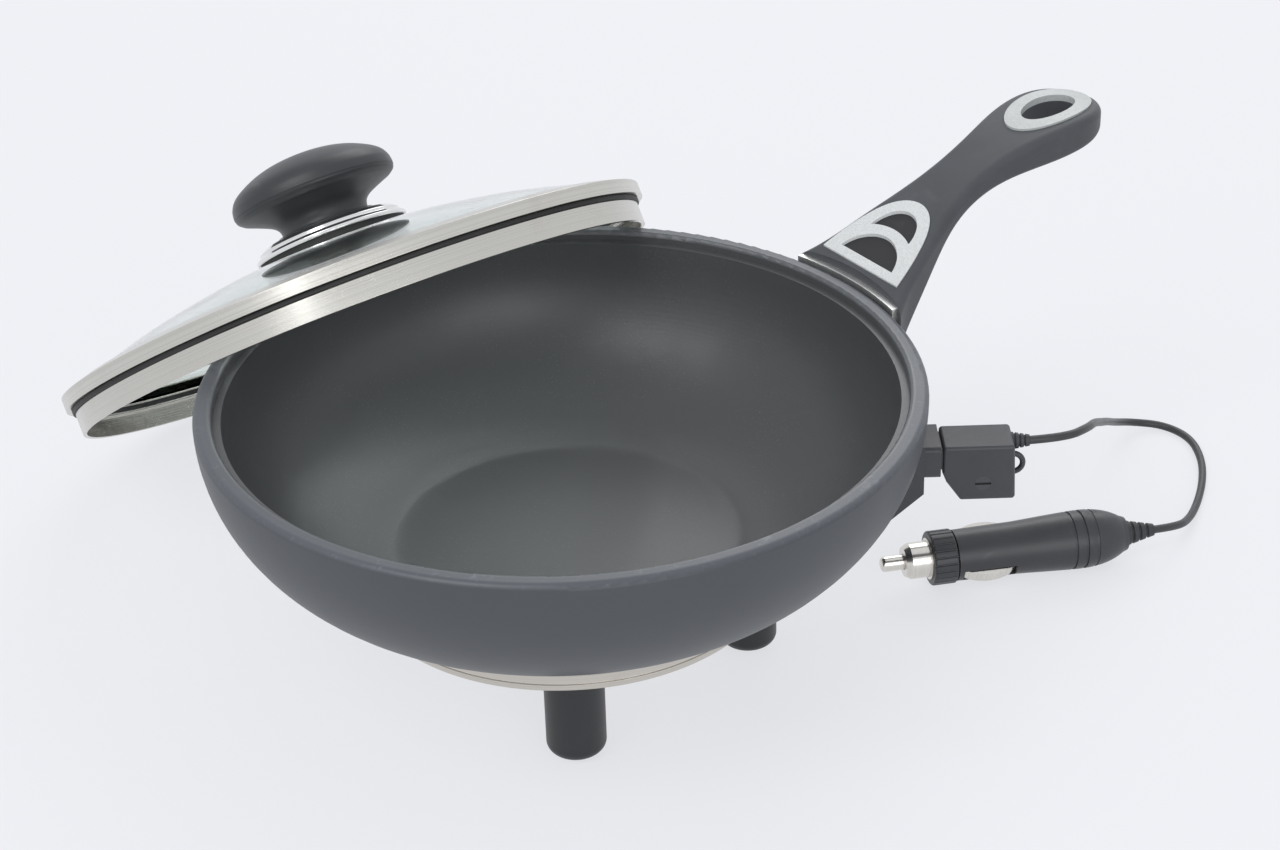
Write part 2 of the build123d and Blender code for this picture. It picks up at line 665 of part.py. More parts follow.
def connector_blank():
    body = slab(CONNECTOR_PROFILE, CONNECTOR_WIDTH)
    body = fillet(body.edges(), CONNECTOR_ROUND)
    nose = block(NOSE_X, NOSE_WIDTH, NOSE_Z)
    nose = fillet(nose.edges().filter_by(Axis.X), NOSE_ROUND)
    body += nose
    for y in (-CONTACT_OFFSET, CONTACT_OFFSET):
        body -= rod(NOSE_X[0], SOCKET_X[0], SOCKET_BORE + EASY_CLEARANCE, y, CONTACT_Z)
        body -= rod(*SOCKET_X, SOCKET_RADIUS, y, CONTACT_Z)
    body -= rod(SOCKET_X[1], CONNECTOR_BOOT[0] + 2 * BEYOND, WIRE_BORE, EXIT_Y, EXIT_Z)
    x, z = CONNECTOR_SCREW
    depth = CONNECTOR_WIDTH - 2 * CONNECTOR_SCREW_COVER
    return body - Pos(x, 0, z) * Rot(90, 0, 0) * Cylinder(CONNECTOR_SCREW_SHANK, depth)


def connector_shell(side):
    """One moulded half of the connector; side is +1 for the half towards +y."""
    x, z = CONNECTOR_SCREW
    half_space = Pos(x, side * HALF_SPACE / 2, z) * Box(HALF_SPACE, HALF_SPACE, HALF_SPACE)
    shell = connector_blank() & half_space
    if side < 0:
        shell -= connector_screw_head()
    return shell


def connector_screw_head():
    x, z = CONNECTOR_SCREW
    surface = -CONNECTOR_WIDTH / 2
    middle = surface + CONNECTOR_SCREW_HEAD_HEIGHT / 2
    return Pos(x, middle, z) * Rot(90, 0, 0) * Cylinder(CONNECTOR_SCREW_HEAD, CONNECTOR_SCREW_HEAD_HEIGHT)


def connector_screw():
    x, z = CONNECTOR_SCREW
    end = CONNECTOR_WIDTH / 2 - CONNECTOR_SCREW_COVER
    start = -CONNECTOR_WIDTH / 2 + CONNECTOR_SCREW_HEAD_HEIGHT
    shank = Pos(x, (start + end) / 2, z) * Rot(90, 0, 0) * Cylinder(CONNECTOR_SCREW_SHANK, end - start)
    slot = Pos(x, -CONNECTOR_WIDTH / 2, z) * Box(2 * CONNECTOR_SCREW_HEAD, 2 * SLOT_DEPTH, SLOT_WIDTH)
    return connector_screw_head() + shank - slot


def connector_sockets():
    sockets = []
    for y in (-CONTACT_OFFSET, CONTACT_OFFSET):
        tube_solid = rod(*SOCKET_X, SOCKET_RADIUS, y, CONTACT_Z)
        bore = rod(SOCKET_X[0], SOCKET_X[1] - SOCKET_BACK, SOCKET_BORE, y, CONTACT_Z)
        sockets.append(one(tube_solid - bore))
    return Compound(sockets)


def connector_face_x(z):
    """Where the connector's outer end face is at a height."""
    (_, _), (x_top, z_top), (x_low, z_low) = CONNECTOR_PROFILE[:3]
    return x_top + (x_low - x_top) * (z_top - z) / (z_top - z_low)


def connector_loop():
    """A half ring of moulded plastic on the outer end, to pull the connector out by."""
    x = connector_face_x(LOOP_Z)
    ring = Pos(x, 0, LOOP_Z) * Rot(90, 0, 0) * Torus(LOOP_RADIUS, LOOP_WIRE)
    reach = 2 * LOOP_RADIUS
    inner_half = block((x - reach, x), CONNECTOR_WIDTH, (LOOP_Z - reach, LOOP_Z + reach))
    return ring - connector_blank() - inner_half


def connector_boot():
    x_from, x_to, start, end = CONNECTOR_BOOT
    boot = cone(x_from - BOOT_ROOT, x_to, start, end, EXIT_Y, EXIT_Z)
    wires = rod(x_from - 2 * BOOT_ROOT, x_from + BORE_RELIEF, WIRE_BORE, EXIT_Y, EXIT_Z)
    return boot - connector_blank() - wires


# ================================================================ cord

def cord_bends():
    """Each bend as large as its two runs allow."""
    places = [Vector(*point) for point in CORD_ROUTE]
    bends = []
    for before, here, after in zip(places, places[1:], places[2:]):
        arriving, leaving = here - before, after - here
        turn = math.radians(arriving.get_angle(leaving))
        bends.append(0.45 * min(arriving.length, leaving.length) / math.tan(turn / 2))
    return bends


# ================================================================ plug, lying along its own +x

def plug_place():
    return Pos(*PLUG_TIP) * Rot(0, 0, PLUG_ANGLE) * Rot(PLUG_ROLL, 0, 0)


def spin_x(points):
    """The solid of an (x, radius) outline turned about the x axis."""
    outline = [(points[0][0], 0), *points, (points[-1][0], 0)]
    face = make_face(Curve() + chain([(x, r) for x, r in outline]))
    return revolve(face, Axis.X)


def plug_tip():
    shank = fillet(rod(*TIP_SPAN, TIP_RADIUS).edges().sort_by(Axis.X)[0], TIP_ROUND)
    return shank + rod(*TIP_FLANGE)


def plug_nose():
    bore_from, bore = NOSE_CHAMBER
    nose = spin_x(NOSE_OUTLINE) - rod(bore_from, NOSE_OUTLINE[-1][0], bore)
    return nose - rod(0, bore_from, NOSE_OUTLINE[0][1])


def plug_collar():
    collar = rod(*COLLAR_SPAN, COLLAR_RADIUS)
    collar = fillet(collar.edges().filter_by(GeomType.CIRCLE), COLLAR_ROUND)
    collar -= rod(*COLLAR_SPAN, COLLAR_BORE)
    for index in range(COLLAR_GROOVES):
        angle = 360.0 * index / COLLAR_GROOVES
        span = (COLLAR_SPAN[0] - BEYOND, COLLAR_SPAN[1] + BEYOND)
        groove = rod(*span, COLLAR_GROOVE_RADIUS, 0, COLLAR_RADIUS)
        collar -= Rot(angle, 0, 0) * groove
    return collar


def plug_tip_spring():
    outer, inner = SPRING_RADII
    return rod(*SPRING_SPAN, outer) - rod(*SPRING_SPAN, inner)


def plug_fuse():
    start, end = FUSE_SPAN
    fuse = rod(start + FUSE_CAP, end - FUSE_CAP, FUSE_RADIUS)
    fuse += rod(start, start + FUSE_CAP, FUSE_CAP_RADIUS)
    return fuse + rod(end - FUSE_CAP, end, FUSE_CAP_RADIUS)


def plug_screw_axis(radius, low, high):
    return Pos(PLUG_SCREW_AT, 0, low) * Cylinder(radius, high - low, align=STANDING)


def plug_blank():
    start = SHELL_OUTLINE[0][0]
    smooth = Spline(*[(x, 0, r) for x, r in SHELL_OUTLINE[1:]])
    edges = [
        Line((start, 0, 0), (start, 0, SHELL_OUTLINE[0][1])),
        Line((start, 0, SHELL_OUTLINE[0][1]), smooth @ 0),
        smooth,
        Line(smooth @ 1, (SHELL_END, 0, SHELL_END_RADIUS)),
        Line((SHELL_END, 0, SHELL_END_RADIUS), (SHELL_END, 0, 0)),
        Line((SHELL_END, 0, 0), (start, 0, 0)),
    ]
    body = revolve(make_face(Curve() + edges), Axis.X)
    body -= rod(start, SHELL_BORE[1], SHELL_BORE[0]) + rod(SHELL_BORE[1], SHELL_END, WIRE_BORE)
    slot_x = (CONTACT_SPAN[0] - SLOT_CLEARANCE, CONTACT_SPAN[1] + SLOT_CLEARANCE)
    slot_z = CONTACT_HEIGHT / 2 + SLOT_CLEARANCE
    body -= block(slot_x, 4 * COLLAR_RADIUS, (-slot_z, slot_z))
    for index in range(GRIP_RIBS):
        x = GRIP_RIB_START + GRIP_RIB_PITCH * index
        body -= tube_x(x, x + GRIP_RIB_WIDTH, 2 * COLLAR_RADIUS, SHELL_OUTLINE[3][1] - GRIP_RIB_DEPTH)
    return body


def tube_x(x_from, x_to, outer, inner):
    return rod(x_from, x_to, outer) - rod(x_from, x_to, inner)


def plug_shell(side):
    """One half of the plug's shell; side is +1 for the upper half."""
    half_space = Pos(SHELL_END / 2, 0, side * HALF_SPACE / 2) * Box(HALF_SPACE, HALF_SPACE, HALF_SPACE)
    shell = plug_blank() & half_space
    if side < 0:
        shell -= plug_screw_axis(PLUG_SCREW_HEAD + EASY_CLEARANCE, -2 * COLLAR_RADIUS, -PLUG_SCREW_OFFSET)
        return shell - plug_screw_axis(PLUG_SCREW_SHANK + THREAD_CLEARANCE, -PLUG_SCREW_OFFSET, 0)
    return shell - plug_screw_axis(PLUG_SCREW_SHANK + THREAD_CLEARANCE, 0, PLUG_SCREW_OFFSET)


def plug_screw():
    head_low = -PLUG_SCREW_OFFSET - PLUG_SCREW_HEAD_HEIGHT
    head = plug_screw_axis(PLUG_SCREW_HEAD, head_low, -PLUG_SCREW_OFFSET)
    slot = Pos(PLUG_SCREW_AT, 0, head_low) * Box(2 * PLUG_SCREW_HEAD, SLOT_WIDTH, 2 * SLOT_DEPTH)
    return head + plug_screw_axis(PLUG_SCREW_SHANK, -PLUG_SCREW_OFFSET, PLUG_SCREW_END) - slot


def plug_side_contact(side):
    """A sprung metal shoe whose outer face bulges out of the barrel's slot."""
    x_from, x_to = CONTACT_SPAN
    inner, outer = CONTACT_DEPTH
    low = outer - CONTACT_BULGE
    points = [(x_from, inner), (x_to, inner), (x_to, low)]
    bulge = ThreePointArc((x_to, low, 0), ((x_from + x_to) / 2, outer, 0), (x_from, low, 0))
    edges = [Line(points[0], points[1]), Line(points[1], points[2]), bulge, Line((x_from, low), points[0])]
    shoe = extrude(make_face(Curve() + edges), CONTACT_HEIGHT / 2, dir=(0, 0, 1), both=True)
    return shoe if side > 0 else mirror(shoe, Plane.XZ)


# ================================================================ lid, along its own +z

def lid_place():
    azimuth, tilt = math.radians(LID_AZIMUTH), math.radians(LID_TILT)
    across, up = math.sin(tilt), math.cos(tilt)
    normal = (across * math.cos(azimuth), across * math.sin(azimuth), up)
    tangent = (-math.sin(azimuth), math.cos(azimuth), 0)
    return Plane(origin=LID_CENTRE, x_dir=tangent, z_dir=normal).location


def glass_ball(thickness):
    """The sphere of the glass's outer face, shrunk by a thickness."""
    return Pos(0, 0, GLASS_TOP - GLASS_SPHERE) * Sphere(GLASS_SPHERE - thickness)


def lid_glass():
    dome = disc(GLASS_RADIUS, 0, GLASS_TOP + BEYOND) & glass_ball(0)
    return dome - glass_ball(GLASS_THICKNESS) - disc(GLASS_HOLE, 0, GLASS_TOP + BEYOND)


def lid_band():
    """The steel channel round the edge of the glass, its top flange sloped like the dome."""
    foot_low, foot_high, top_low, top_high = BAND_Z
    wall = BAND_RADIUS - BAND_WALL
    band = chain((
        (BAND_FLANGE, foot_low), (BAND_RADIUS, foot_low), (BAND_RADIUS, top_high),
        (BAND_FLANGE, top_high + BAND_RISE), (BAND_FLANGE, top_low + BAND_RISE),
        (wall, top_low), (wall, foot_high), (BAND_FLANGE, foot_high),
    ))
    solid = spin(band)
    circles = solid.edges().filter_by(GeomType.CIRCLE)
    return fillet(circles.filter_by(lambda edge: edge.radius > BAND_RADIUS - BAND_ROUND), BAND_ROUND)


def lid_seal():
    return tube(SEAL_RADII[1], SEAL_RADII[0], -SEAL_THICKNESS, BAND_Z[0])


def lid_lip():
    """The steel ring that drops into the pan's rim, with its inner flange."""
    inner, outer = LIP_RADII
    top = -SEAL_THICKNESS
    return tube(outer, inner, LIP_BOTTOM, top) + tube(outer, LIP_FLANGE, top - LIP_FLANGE_THICKNESS, top)


def knob_gasket():
    radius, high = KNOB_GASKET
    return disc(radius, GLASS_TOP - GLASS_THICKNESS, high) - glass_ball(0) - disc(GLASS_HOLE, 0, high)


def knob_washer():
    bore = KNOB_BOLT_RADIUS + WASHER_CLEARANCE
    points = [(bore, WASHER_OUTLINE[0][1]), *WASHER_OUTLINE, (bore, WASHER_OUTLINE[-1][1])]
    return spin(chain(points))


def knob():
    """A mushroom: waisted stem, flared underside and low domed cap."""
    low = KNOB_STEM[0][1]
    edge_radius, edge_z = KNOB_CAP_EDGE
    flare = Spline(*[(r, 0, z) for r, z in KNOB_STEM])
    places = [(edge_radius, 0, edge_z), *[(r, 0, z) for r, z in KNOB_DOME], (0, 0, KNOB_TOP)]
    dome = Spline(*places, tangents=[(0, 0, 1), (-1, 0, 0)])
    edges = [
        Line((0, 0, low), (KNOB_STEM[0][0], 0, low)),
        flare,
        Line(flare @ 1, dome @ 0),
        dome,
        Line((0, 0, KNOB_TOP), (0, 0, low)),
    ]
    return spin(edges) - disc(KNOB_BOLT_RADIUS + THREAD_CLEARANCE, low, KNOB_BOLT_TOP + BORE_RELIEF)


def inner_washer_levels():
    high = GLASS_TOP - GLASS_THICKNESS - INNER_WASHER_DROP
    return high - INNER_WASHER[1], high


def knob_inner_washer():
    low, high = inner_washer_levels()
    return tube(INNER_WASHER[0], KNOB_BOLT_RADIUS + WASHER_CLEARANCE, low, high)


def knob_bolt():
    low = inner_washer_levels()[0]
    head_low = low - KNOB_BOLT_HEAD_HEIGHT
    bolt = disc(KNOB_BOLT_HEAD, head_low, low) + disc(KNOB_BOLT_RADIUS, low, KNOB_BOLT_TOP)
    slot_z = (head_low - BEYOND, head_low + SLOT_DEPTH)
    return bolt - block((-KNOB_BOLT_HEAD, KNOB_BOLT_HEAD), SLOT_WIDTH, slot_z)


# ================================================================ assembly

def pan_nodes():
    outer = bowl_outer()
    nodes = {
        "skillet_body": skillet_body(outer, bowl_cavity()),
        "base_ring": base_ring(outer),
        "base_cover": base_cover(),
        "heating_element": heating_element(),
        "insulation_pad": insulation_pad(),
        "thermal_fuse": thermal_fuse(),
        "base_screws": base_screws(),
        "foot_screws": foot_screws(),
        "inlet_housing": inlet_housing(),
        "inlet_pins": inlet_pins(),
        "lead_live": internal_lead(-CONTACT_OFFSET),
        "lead_return": internal_lead(CONTACT_OFFSET),
    }
    for name, place in foot_places().items():
        nodes["foot_" + name] = place * foot()
        nodes["foot_pad_" + name] = place * foot_pad()
    return nodes


def handle_nodes():
    return {
        "handle_bracket": handle_bracket(),
        "bracket_screws": bracket_screws(),
        "handle_grip": handle_grip(),
        "handle_inlay": handle_inlay(),
        "window_pad_lower": window_pad(lower_window(-POCKET_GAP)),
        "window_pad_upper": window_pad(offset(upper_window(), amount=-POCKET_GAP)),
        "hang_ring": hang_ring(),
        "handle_screw": handle_screw(),
    }


def connector_nodes():
    return {
        "connector_shell_left": connector_shell(1),
        "connector_shell_right": connector_shell(-1),
        "connector_screw": connector_screw(),
        "connector_sockets": connector_sockets(),
        "connector_loop": connector_loop(),
        "connector_boot": connector_boot(),
    }


def plug_nodes():
    x_from, x_to, start, end = PLUG_BOOT
    nodes = {
        "plug_tip": plug_tip(),
        "plug_tip_spring": plug_tip_spring(),
        "plug_nose": plug_nose(),
        "plug_collar": plug_collar(),
        "plug_fuse": plug_fuse(),
        "plug_shell_upper": plug_shell(1),
        "plug_shell_lower": plug_shell(-1),
        "plug_screw": plug_screw(),
        "plug_contact_left": plug_side_contact(1),
        "plug_contact_right": plug_side_contact(-1),
        "plug_boot": cone(x_from, x_to, start, end),
    }
    return {name: plug_place() * shape for name, shape in nodes.items()}


def lid_nodes():
    nodes = {
        "lid_glass": lid_glass(),
        "lid_band": lid_band(),
        "lid_seal": lid_seal(),
        "lid_lip": lid_lip(),
        "knob_gasket": knob_gasket(),
        "knob_washer": knob_washer(),
        "knob": knob(),
        "knob_inner_washer": knob_inner_washer(),
        "knob_bolt": knob_bolt(),
    }
    return {name: lid_place() * shape for name, shape in nodes.items()}


def main():
    os.makedirs("parts", exist_ok=True)
    bends = cord_bends()
    cord = round_wire(CORD_ROUTE, CORD_DIAMETER / 2, bends)
    length = cord.volume / (math.pi * CORD_DIAMETER ** 2 / 4)
    runs = [(Vector(*b) - Vector(*a)).length for a, b in zip(CORD_ROUTE, CORD_ROUTE[1:])]
    print("cord radii", [round(bend, 1) for bend in bends], "runs", [round(run, 1) for run in runs])
    print("cord volume over section", round(length, 1), "sum of runs", round(sum(runs), 1))

    standing = {**pan_nodes(), **handle_nodes(), **lid_nodes()}
    flexible = {**connector_nodes(), **plug_nodes(), "cord": cord}
    solids = [solid for shape in standing.values() for solid in shape.solids()]
    box = Compound(solids).bounding_box()
    middle = box.center()
    shift = Pos(-middle.X, -middle.Y, -box.min.Z)
    print("shift", shift.position)
    for name, shape in {**standing, **flexible}.items():
        export_step(shift * one(shape), "parts/" + name + ".step")


main()
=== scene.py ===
import json
import logging
import math
from dataclasses import dataclass
from enum import Enum
from typing import Any, Iterable, Sequence

import bpy
import numpy as np
from mathutils import Matrix, Vector

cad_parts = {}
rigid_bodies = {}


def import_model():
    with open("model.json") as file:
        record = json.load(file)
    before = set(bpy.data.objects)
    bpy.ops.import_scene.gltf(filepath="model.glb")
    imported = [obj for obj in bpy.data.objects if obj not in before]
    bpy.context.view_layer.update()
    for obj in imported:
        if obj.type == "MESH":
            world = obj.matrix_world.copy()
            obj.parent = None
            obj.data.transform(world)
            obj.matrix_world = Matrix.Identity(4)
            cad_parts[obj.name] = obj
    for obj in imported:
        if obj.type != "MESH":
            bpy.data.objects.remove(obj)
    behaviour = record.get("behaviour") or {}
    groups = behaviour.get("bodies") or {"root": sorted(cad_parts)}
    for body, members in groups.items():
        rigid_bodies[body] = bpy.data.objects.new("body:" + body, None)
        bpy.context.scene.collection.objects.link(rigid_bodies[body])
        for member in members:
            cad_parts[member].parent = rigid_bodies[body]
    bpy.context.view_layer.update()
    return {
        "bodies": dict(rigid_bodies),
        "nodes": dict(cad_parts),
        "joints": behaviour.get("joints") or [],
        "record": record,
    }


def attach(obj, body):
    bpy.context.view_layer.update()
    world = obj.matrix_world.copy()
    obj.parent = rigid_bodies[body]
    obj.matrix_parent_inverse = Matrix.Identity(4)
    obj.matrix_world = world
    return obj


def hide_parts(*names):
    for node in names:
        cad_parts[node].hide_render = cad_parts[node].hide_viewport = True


LOG = logging.getLogger("skillet")
MM = 0.001
SHIFT = np.array([-3.45886, -40.7831, 0.0])
Point = tuple[float, float, float]
Colour = tuple[float, float, float]


# ---------------------------------------------------------------- meshes from arrays

def smooth_corners(points: Sequence[Sequence[float]], radii: Sequence[float], steps: int = 5) -> np.ndarray:
    """Rounds the corners of an outline.

    At each corner a circle that touches both runs takes its place: the arc's points are the
    circle's centre plus its radius times a direction that turns evenly from one run's normal
    to the other's. A radius of 0 keeps the corner.

    Args:
        points: corners of an open outline, as (radius, height) pairs in millimetres.
        radii: one radius per corner; the first and last are not used.
        steps: pieces that each arc is cut into.

    Returns:
        The rounded outline as an array of pairs.
    """
    corners = np.array(points, float)
    found = [corners[:1]]
    for before, here, after, radius in zip(corners, corners[1:], corners[2:], radii[1:]):
        arrive = (here - before) / np.linalg.norm(here - before)
        leave = (after - here) / np.linalg.norm(after - here)
        turn = math.acos(float(np.clip(arrive @ leave, -1.0, 1.0)))
        if radius <= 0 or turn < 1e-3:
            found.append(here[None])
            continue
        reach = radius * math.tan(turn / 2)
        start, inward = here - arrive * reach, (leave - arrive) / np.linalg.norm(leave - arrive)
        centre = here + inward * radius / math.cos(turn / 2)
        share = np.linspace(0.0, turn, steps + 1)[:, None]
        normal = (start - centre) / radius
        found.append(centre + radius * (np.cos(share) * normal + np.sin(share) * arrive))
    found.append(corners[-1:])
    return np.concatenate(found)


def through(points: Sequence[Sequence[float]], count: int) -> np.ndarray:
    """A smooth line through points: on each span the Catmull-Rom cubic of its four nearest points.

    Args:
        points: two or more points of any dimension.
        count: how many points the result has, evenly spread over the spans.

    Returns:
        The line as an array of points.
    """
    knots = np.array(points, float)
    padded = np.vstack([2 * knots[0] - knots[1], knots, 2 * knots[-1] - knots[-2]])
    where = np.linspace(0.0, len(knots) - 1 - 1e-9, count)
    span = where.astype(int)
    t = (where - span)[:, None]
    a, b, c, d = (padded[span + k] for k in range(4))
    return 0.5 * (2 * b + (c - a) * t + (2 * a - 5 * b + 4 * c - d) * t ** 2
                  + (3 * b - a - 3 * c + d) * t ** 3)


@dataclass
class Surface:
    """A grid of points that is made into a mesh.

    Attributes:
        grid: points in millimetres, rows along the profile and columns round it.
        loops_round: the last column joins the first.
        loops_along: the last row joins the first.
    """

    grid: np.ndarray
    loops_round: bool = True
    loops_along: bool = False

    def faces(self) -> tuple[np.ndarray, np.ndarray]:
        """Quads between neighbouring rows and columns, and the (round, along) share of each corner.

        Returns:
            Vertex numbers, four per face, and their UV pairs.
        """
        rows, columns = self.grid.shape[:2]
        i, j = np.meshgrid(
            np.arange(rows if self.loops_along else rows - 1),
            np.arange(columns if self.loops_round else columns - 1), indexing="ij")
        i, j = i.ravel(), j.ravel()
        corners = [(i, j), (i, j + 1), (i + 1, j + 1), (i + 1, j)]
        numbers = np.stack([(a % rows) * columns + b % columns for a, b in corners], 1)
        step = np.linalg.norm(np.diff(self.grid[:, 0], axis=0, append=self.grid[:1, 0]), axis=1)
        along = np.concatenate([[0.0], np.cumsum(step)]) * MM
        uv = np.stack([np.stack([b / columns, along[a]], 1) for a, b in corners], 1)
        return numbers, uv

    def mesh(self, name: str, place: Matrix) -> bpy.types.Mesh:
        """Welds the poles and seams, turns the faces outwards and writes the mesh.

        A vertex's normal is the sum of its faces' normals, each as long as its face's area, so
        that a wide flat stays flat beside a narrow rounded edge.

        Args:
            name: the mesh's name.
            place: where the grid's own axes lie in the object, in millimetres.

        Returns:
            The mesh, in metres.
        """
        turn, move = np.array(place)[:3, :3], np.array(place)[:3, 3]
        points = (self.grid.reshape(-1, 3) @ turn.T + move + SHIFT) * MM
        numbers, uv = self.faces()
        _, first, joined = np.unique(np.round(points, 8), axis=0, return_index=True, return_inverse=True)
        points, numbers = points[first], joined.ravel()[numbers]
        a, b, c, d = (points[numbers[:, k]] for k in range(4))
        area = np.cross(c - a, d - b) / 2
        if np.einsum("ij,ij->", (a + b + c + d) / 4 - points.mean(0), area) < 0:
            numbers, uv, area = numbers[:, ::-1], uv[:, ::-1], -area
        keep = numbers != np.roll(numbers, 1, axis=1)
        whole = keep.sum(1) > 2
        keep, numbers, uv, area = keep[whole], numbers[whole], uv[whole], area[whole]
        normals = np.zeros_like(points)
        np.add.at(normals, numbers.ravel(), np.repeat(area, 4, axis=0))
        normals /= np.maximum(np.linalg.norm(normals, axis=1), 1e-12)[:, None]
        sizes = keep.sum(1)
        mesh = bpy.data.meshes.new(name)
        mesh.vertices.add(len(points))
        mesh.vertices.foreach_set("co", points.astype(np.float32).ravel())
        mesh.loops.add(int(sizes.sum()))
        mesh.loops.foreach_set("vertex_index", numbers[keep].astype(np.int32))
        mesh.polygons.add(len(sizes))
        mesh.polygons.foreach_set("loop_start", (np.cumsum(sizes) - sizes).astype(np.int32))
        mesh.uv_layers.new(name="UVMap").data.foreach_set("uv", uv[keep].astype(np.float32).ravel())
        mesh.update(calc_edges=True)
        mesh.validate()
        mesh.polygons.foreach_set("use_smooth", np.ones(len(mesh.polygons), bool))
        mesh.normals_split_custom_set_from_vertices(normals)
        return mesh


def turned(profile: np.ndarray, sides: int = 128, closed: bool = False) -> Surface:
    """A profile spun round the z axis: x is radius times cos of the angle, y radius times sin.

    Args:
        profile: (radius, height) pairs in millimetres.
        sides: how many steps there are round the axis.
        closed: the profile's end joins its start, as on a ring.

    Returns:
        The surface in its own axes.
    """
    angle = np.arange(sides) * 2 * np.pi / sides
    radius = np.repeat(profile[:, :1], sides, axis=1)
    height = np.repeat(profile[:, 1:], sides, axis=1)
    return Surface(np.stack([radius * np.cos(angle), radius * np.sin(angle), height], 2), True, closed)


# ---------------------------------------------------------------- shader maths

class Signal:
    """A socket that Python's operators work on, one Math node for each."""

    def __init__(self, shading: "Shading", socket: bpy.types.NodeSocket) -> None:
        """Wraps a socket of a material that is being built."""
        self.shading = shading
        self.socket = socket

    def _math(self, operation: str, *values: Any) -> "Signal":
        """One Math node on the given values or links."""
        return self.shading.node("ShaderNodeMath", {"operation": operation}, dict(enumerate(values)))

    def __add__(self, other: Any) -> "Signal":
        """Sum."""
        return self._math("ADD", self, other)

    def __sub__(self, other: Any) -> "Signal":
        """Difference."""
        return self._math("SUBTRACT", self, other)

    def __rsub__(self, other: Any) -> "Signal":
        """Difference from a number."""
        return self._math("SUBTRACT", other, self)

    def __mul__(self, other: Any) -> "Signal":
        """Product."""
        return self._math("MULTIPLY", self, other)

    def __truediv__(self, other: Any) -> "Signal":
        """Quotient."""
        return self._math("DIVIDE", self, other)

    def __rtruediv__(self, other: Any) -> "Signal":
        """Quotient of a number by the signal."""
        return self._math("DIVIDE", other, self)

    def __pow__(self, other: Any) -> "Signal":
        """Power."""
        return self._math("POWER", self, other)

    __radd__ = __add__
    __rmul__ = __mul__

    def sine(self) -> "Signal":
        """Sine of the signal in radians."""
        return self._math("SINE", self)

    def ramp(self, low: float, high: float) -> "Signal":
        """0 below low and 1 above high, with a smooth rise between; low may be the larger.

        Args:
            low: where the result is 0.
            high: where the result is 1.

        Returns:
            The smooth step.
        """
        settings = {"interpolation_type": "SMOOTHSTEP"}
        inputs = {"Value": self, "From Min": low, "From Max": high}
        return self.shading.node("ShaderNodeMapRange", settings, inputs)


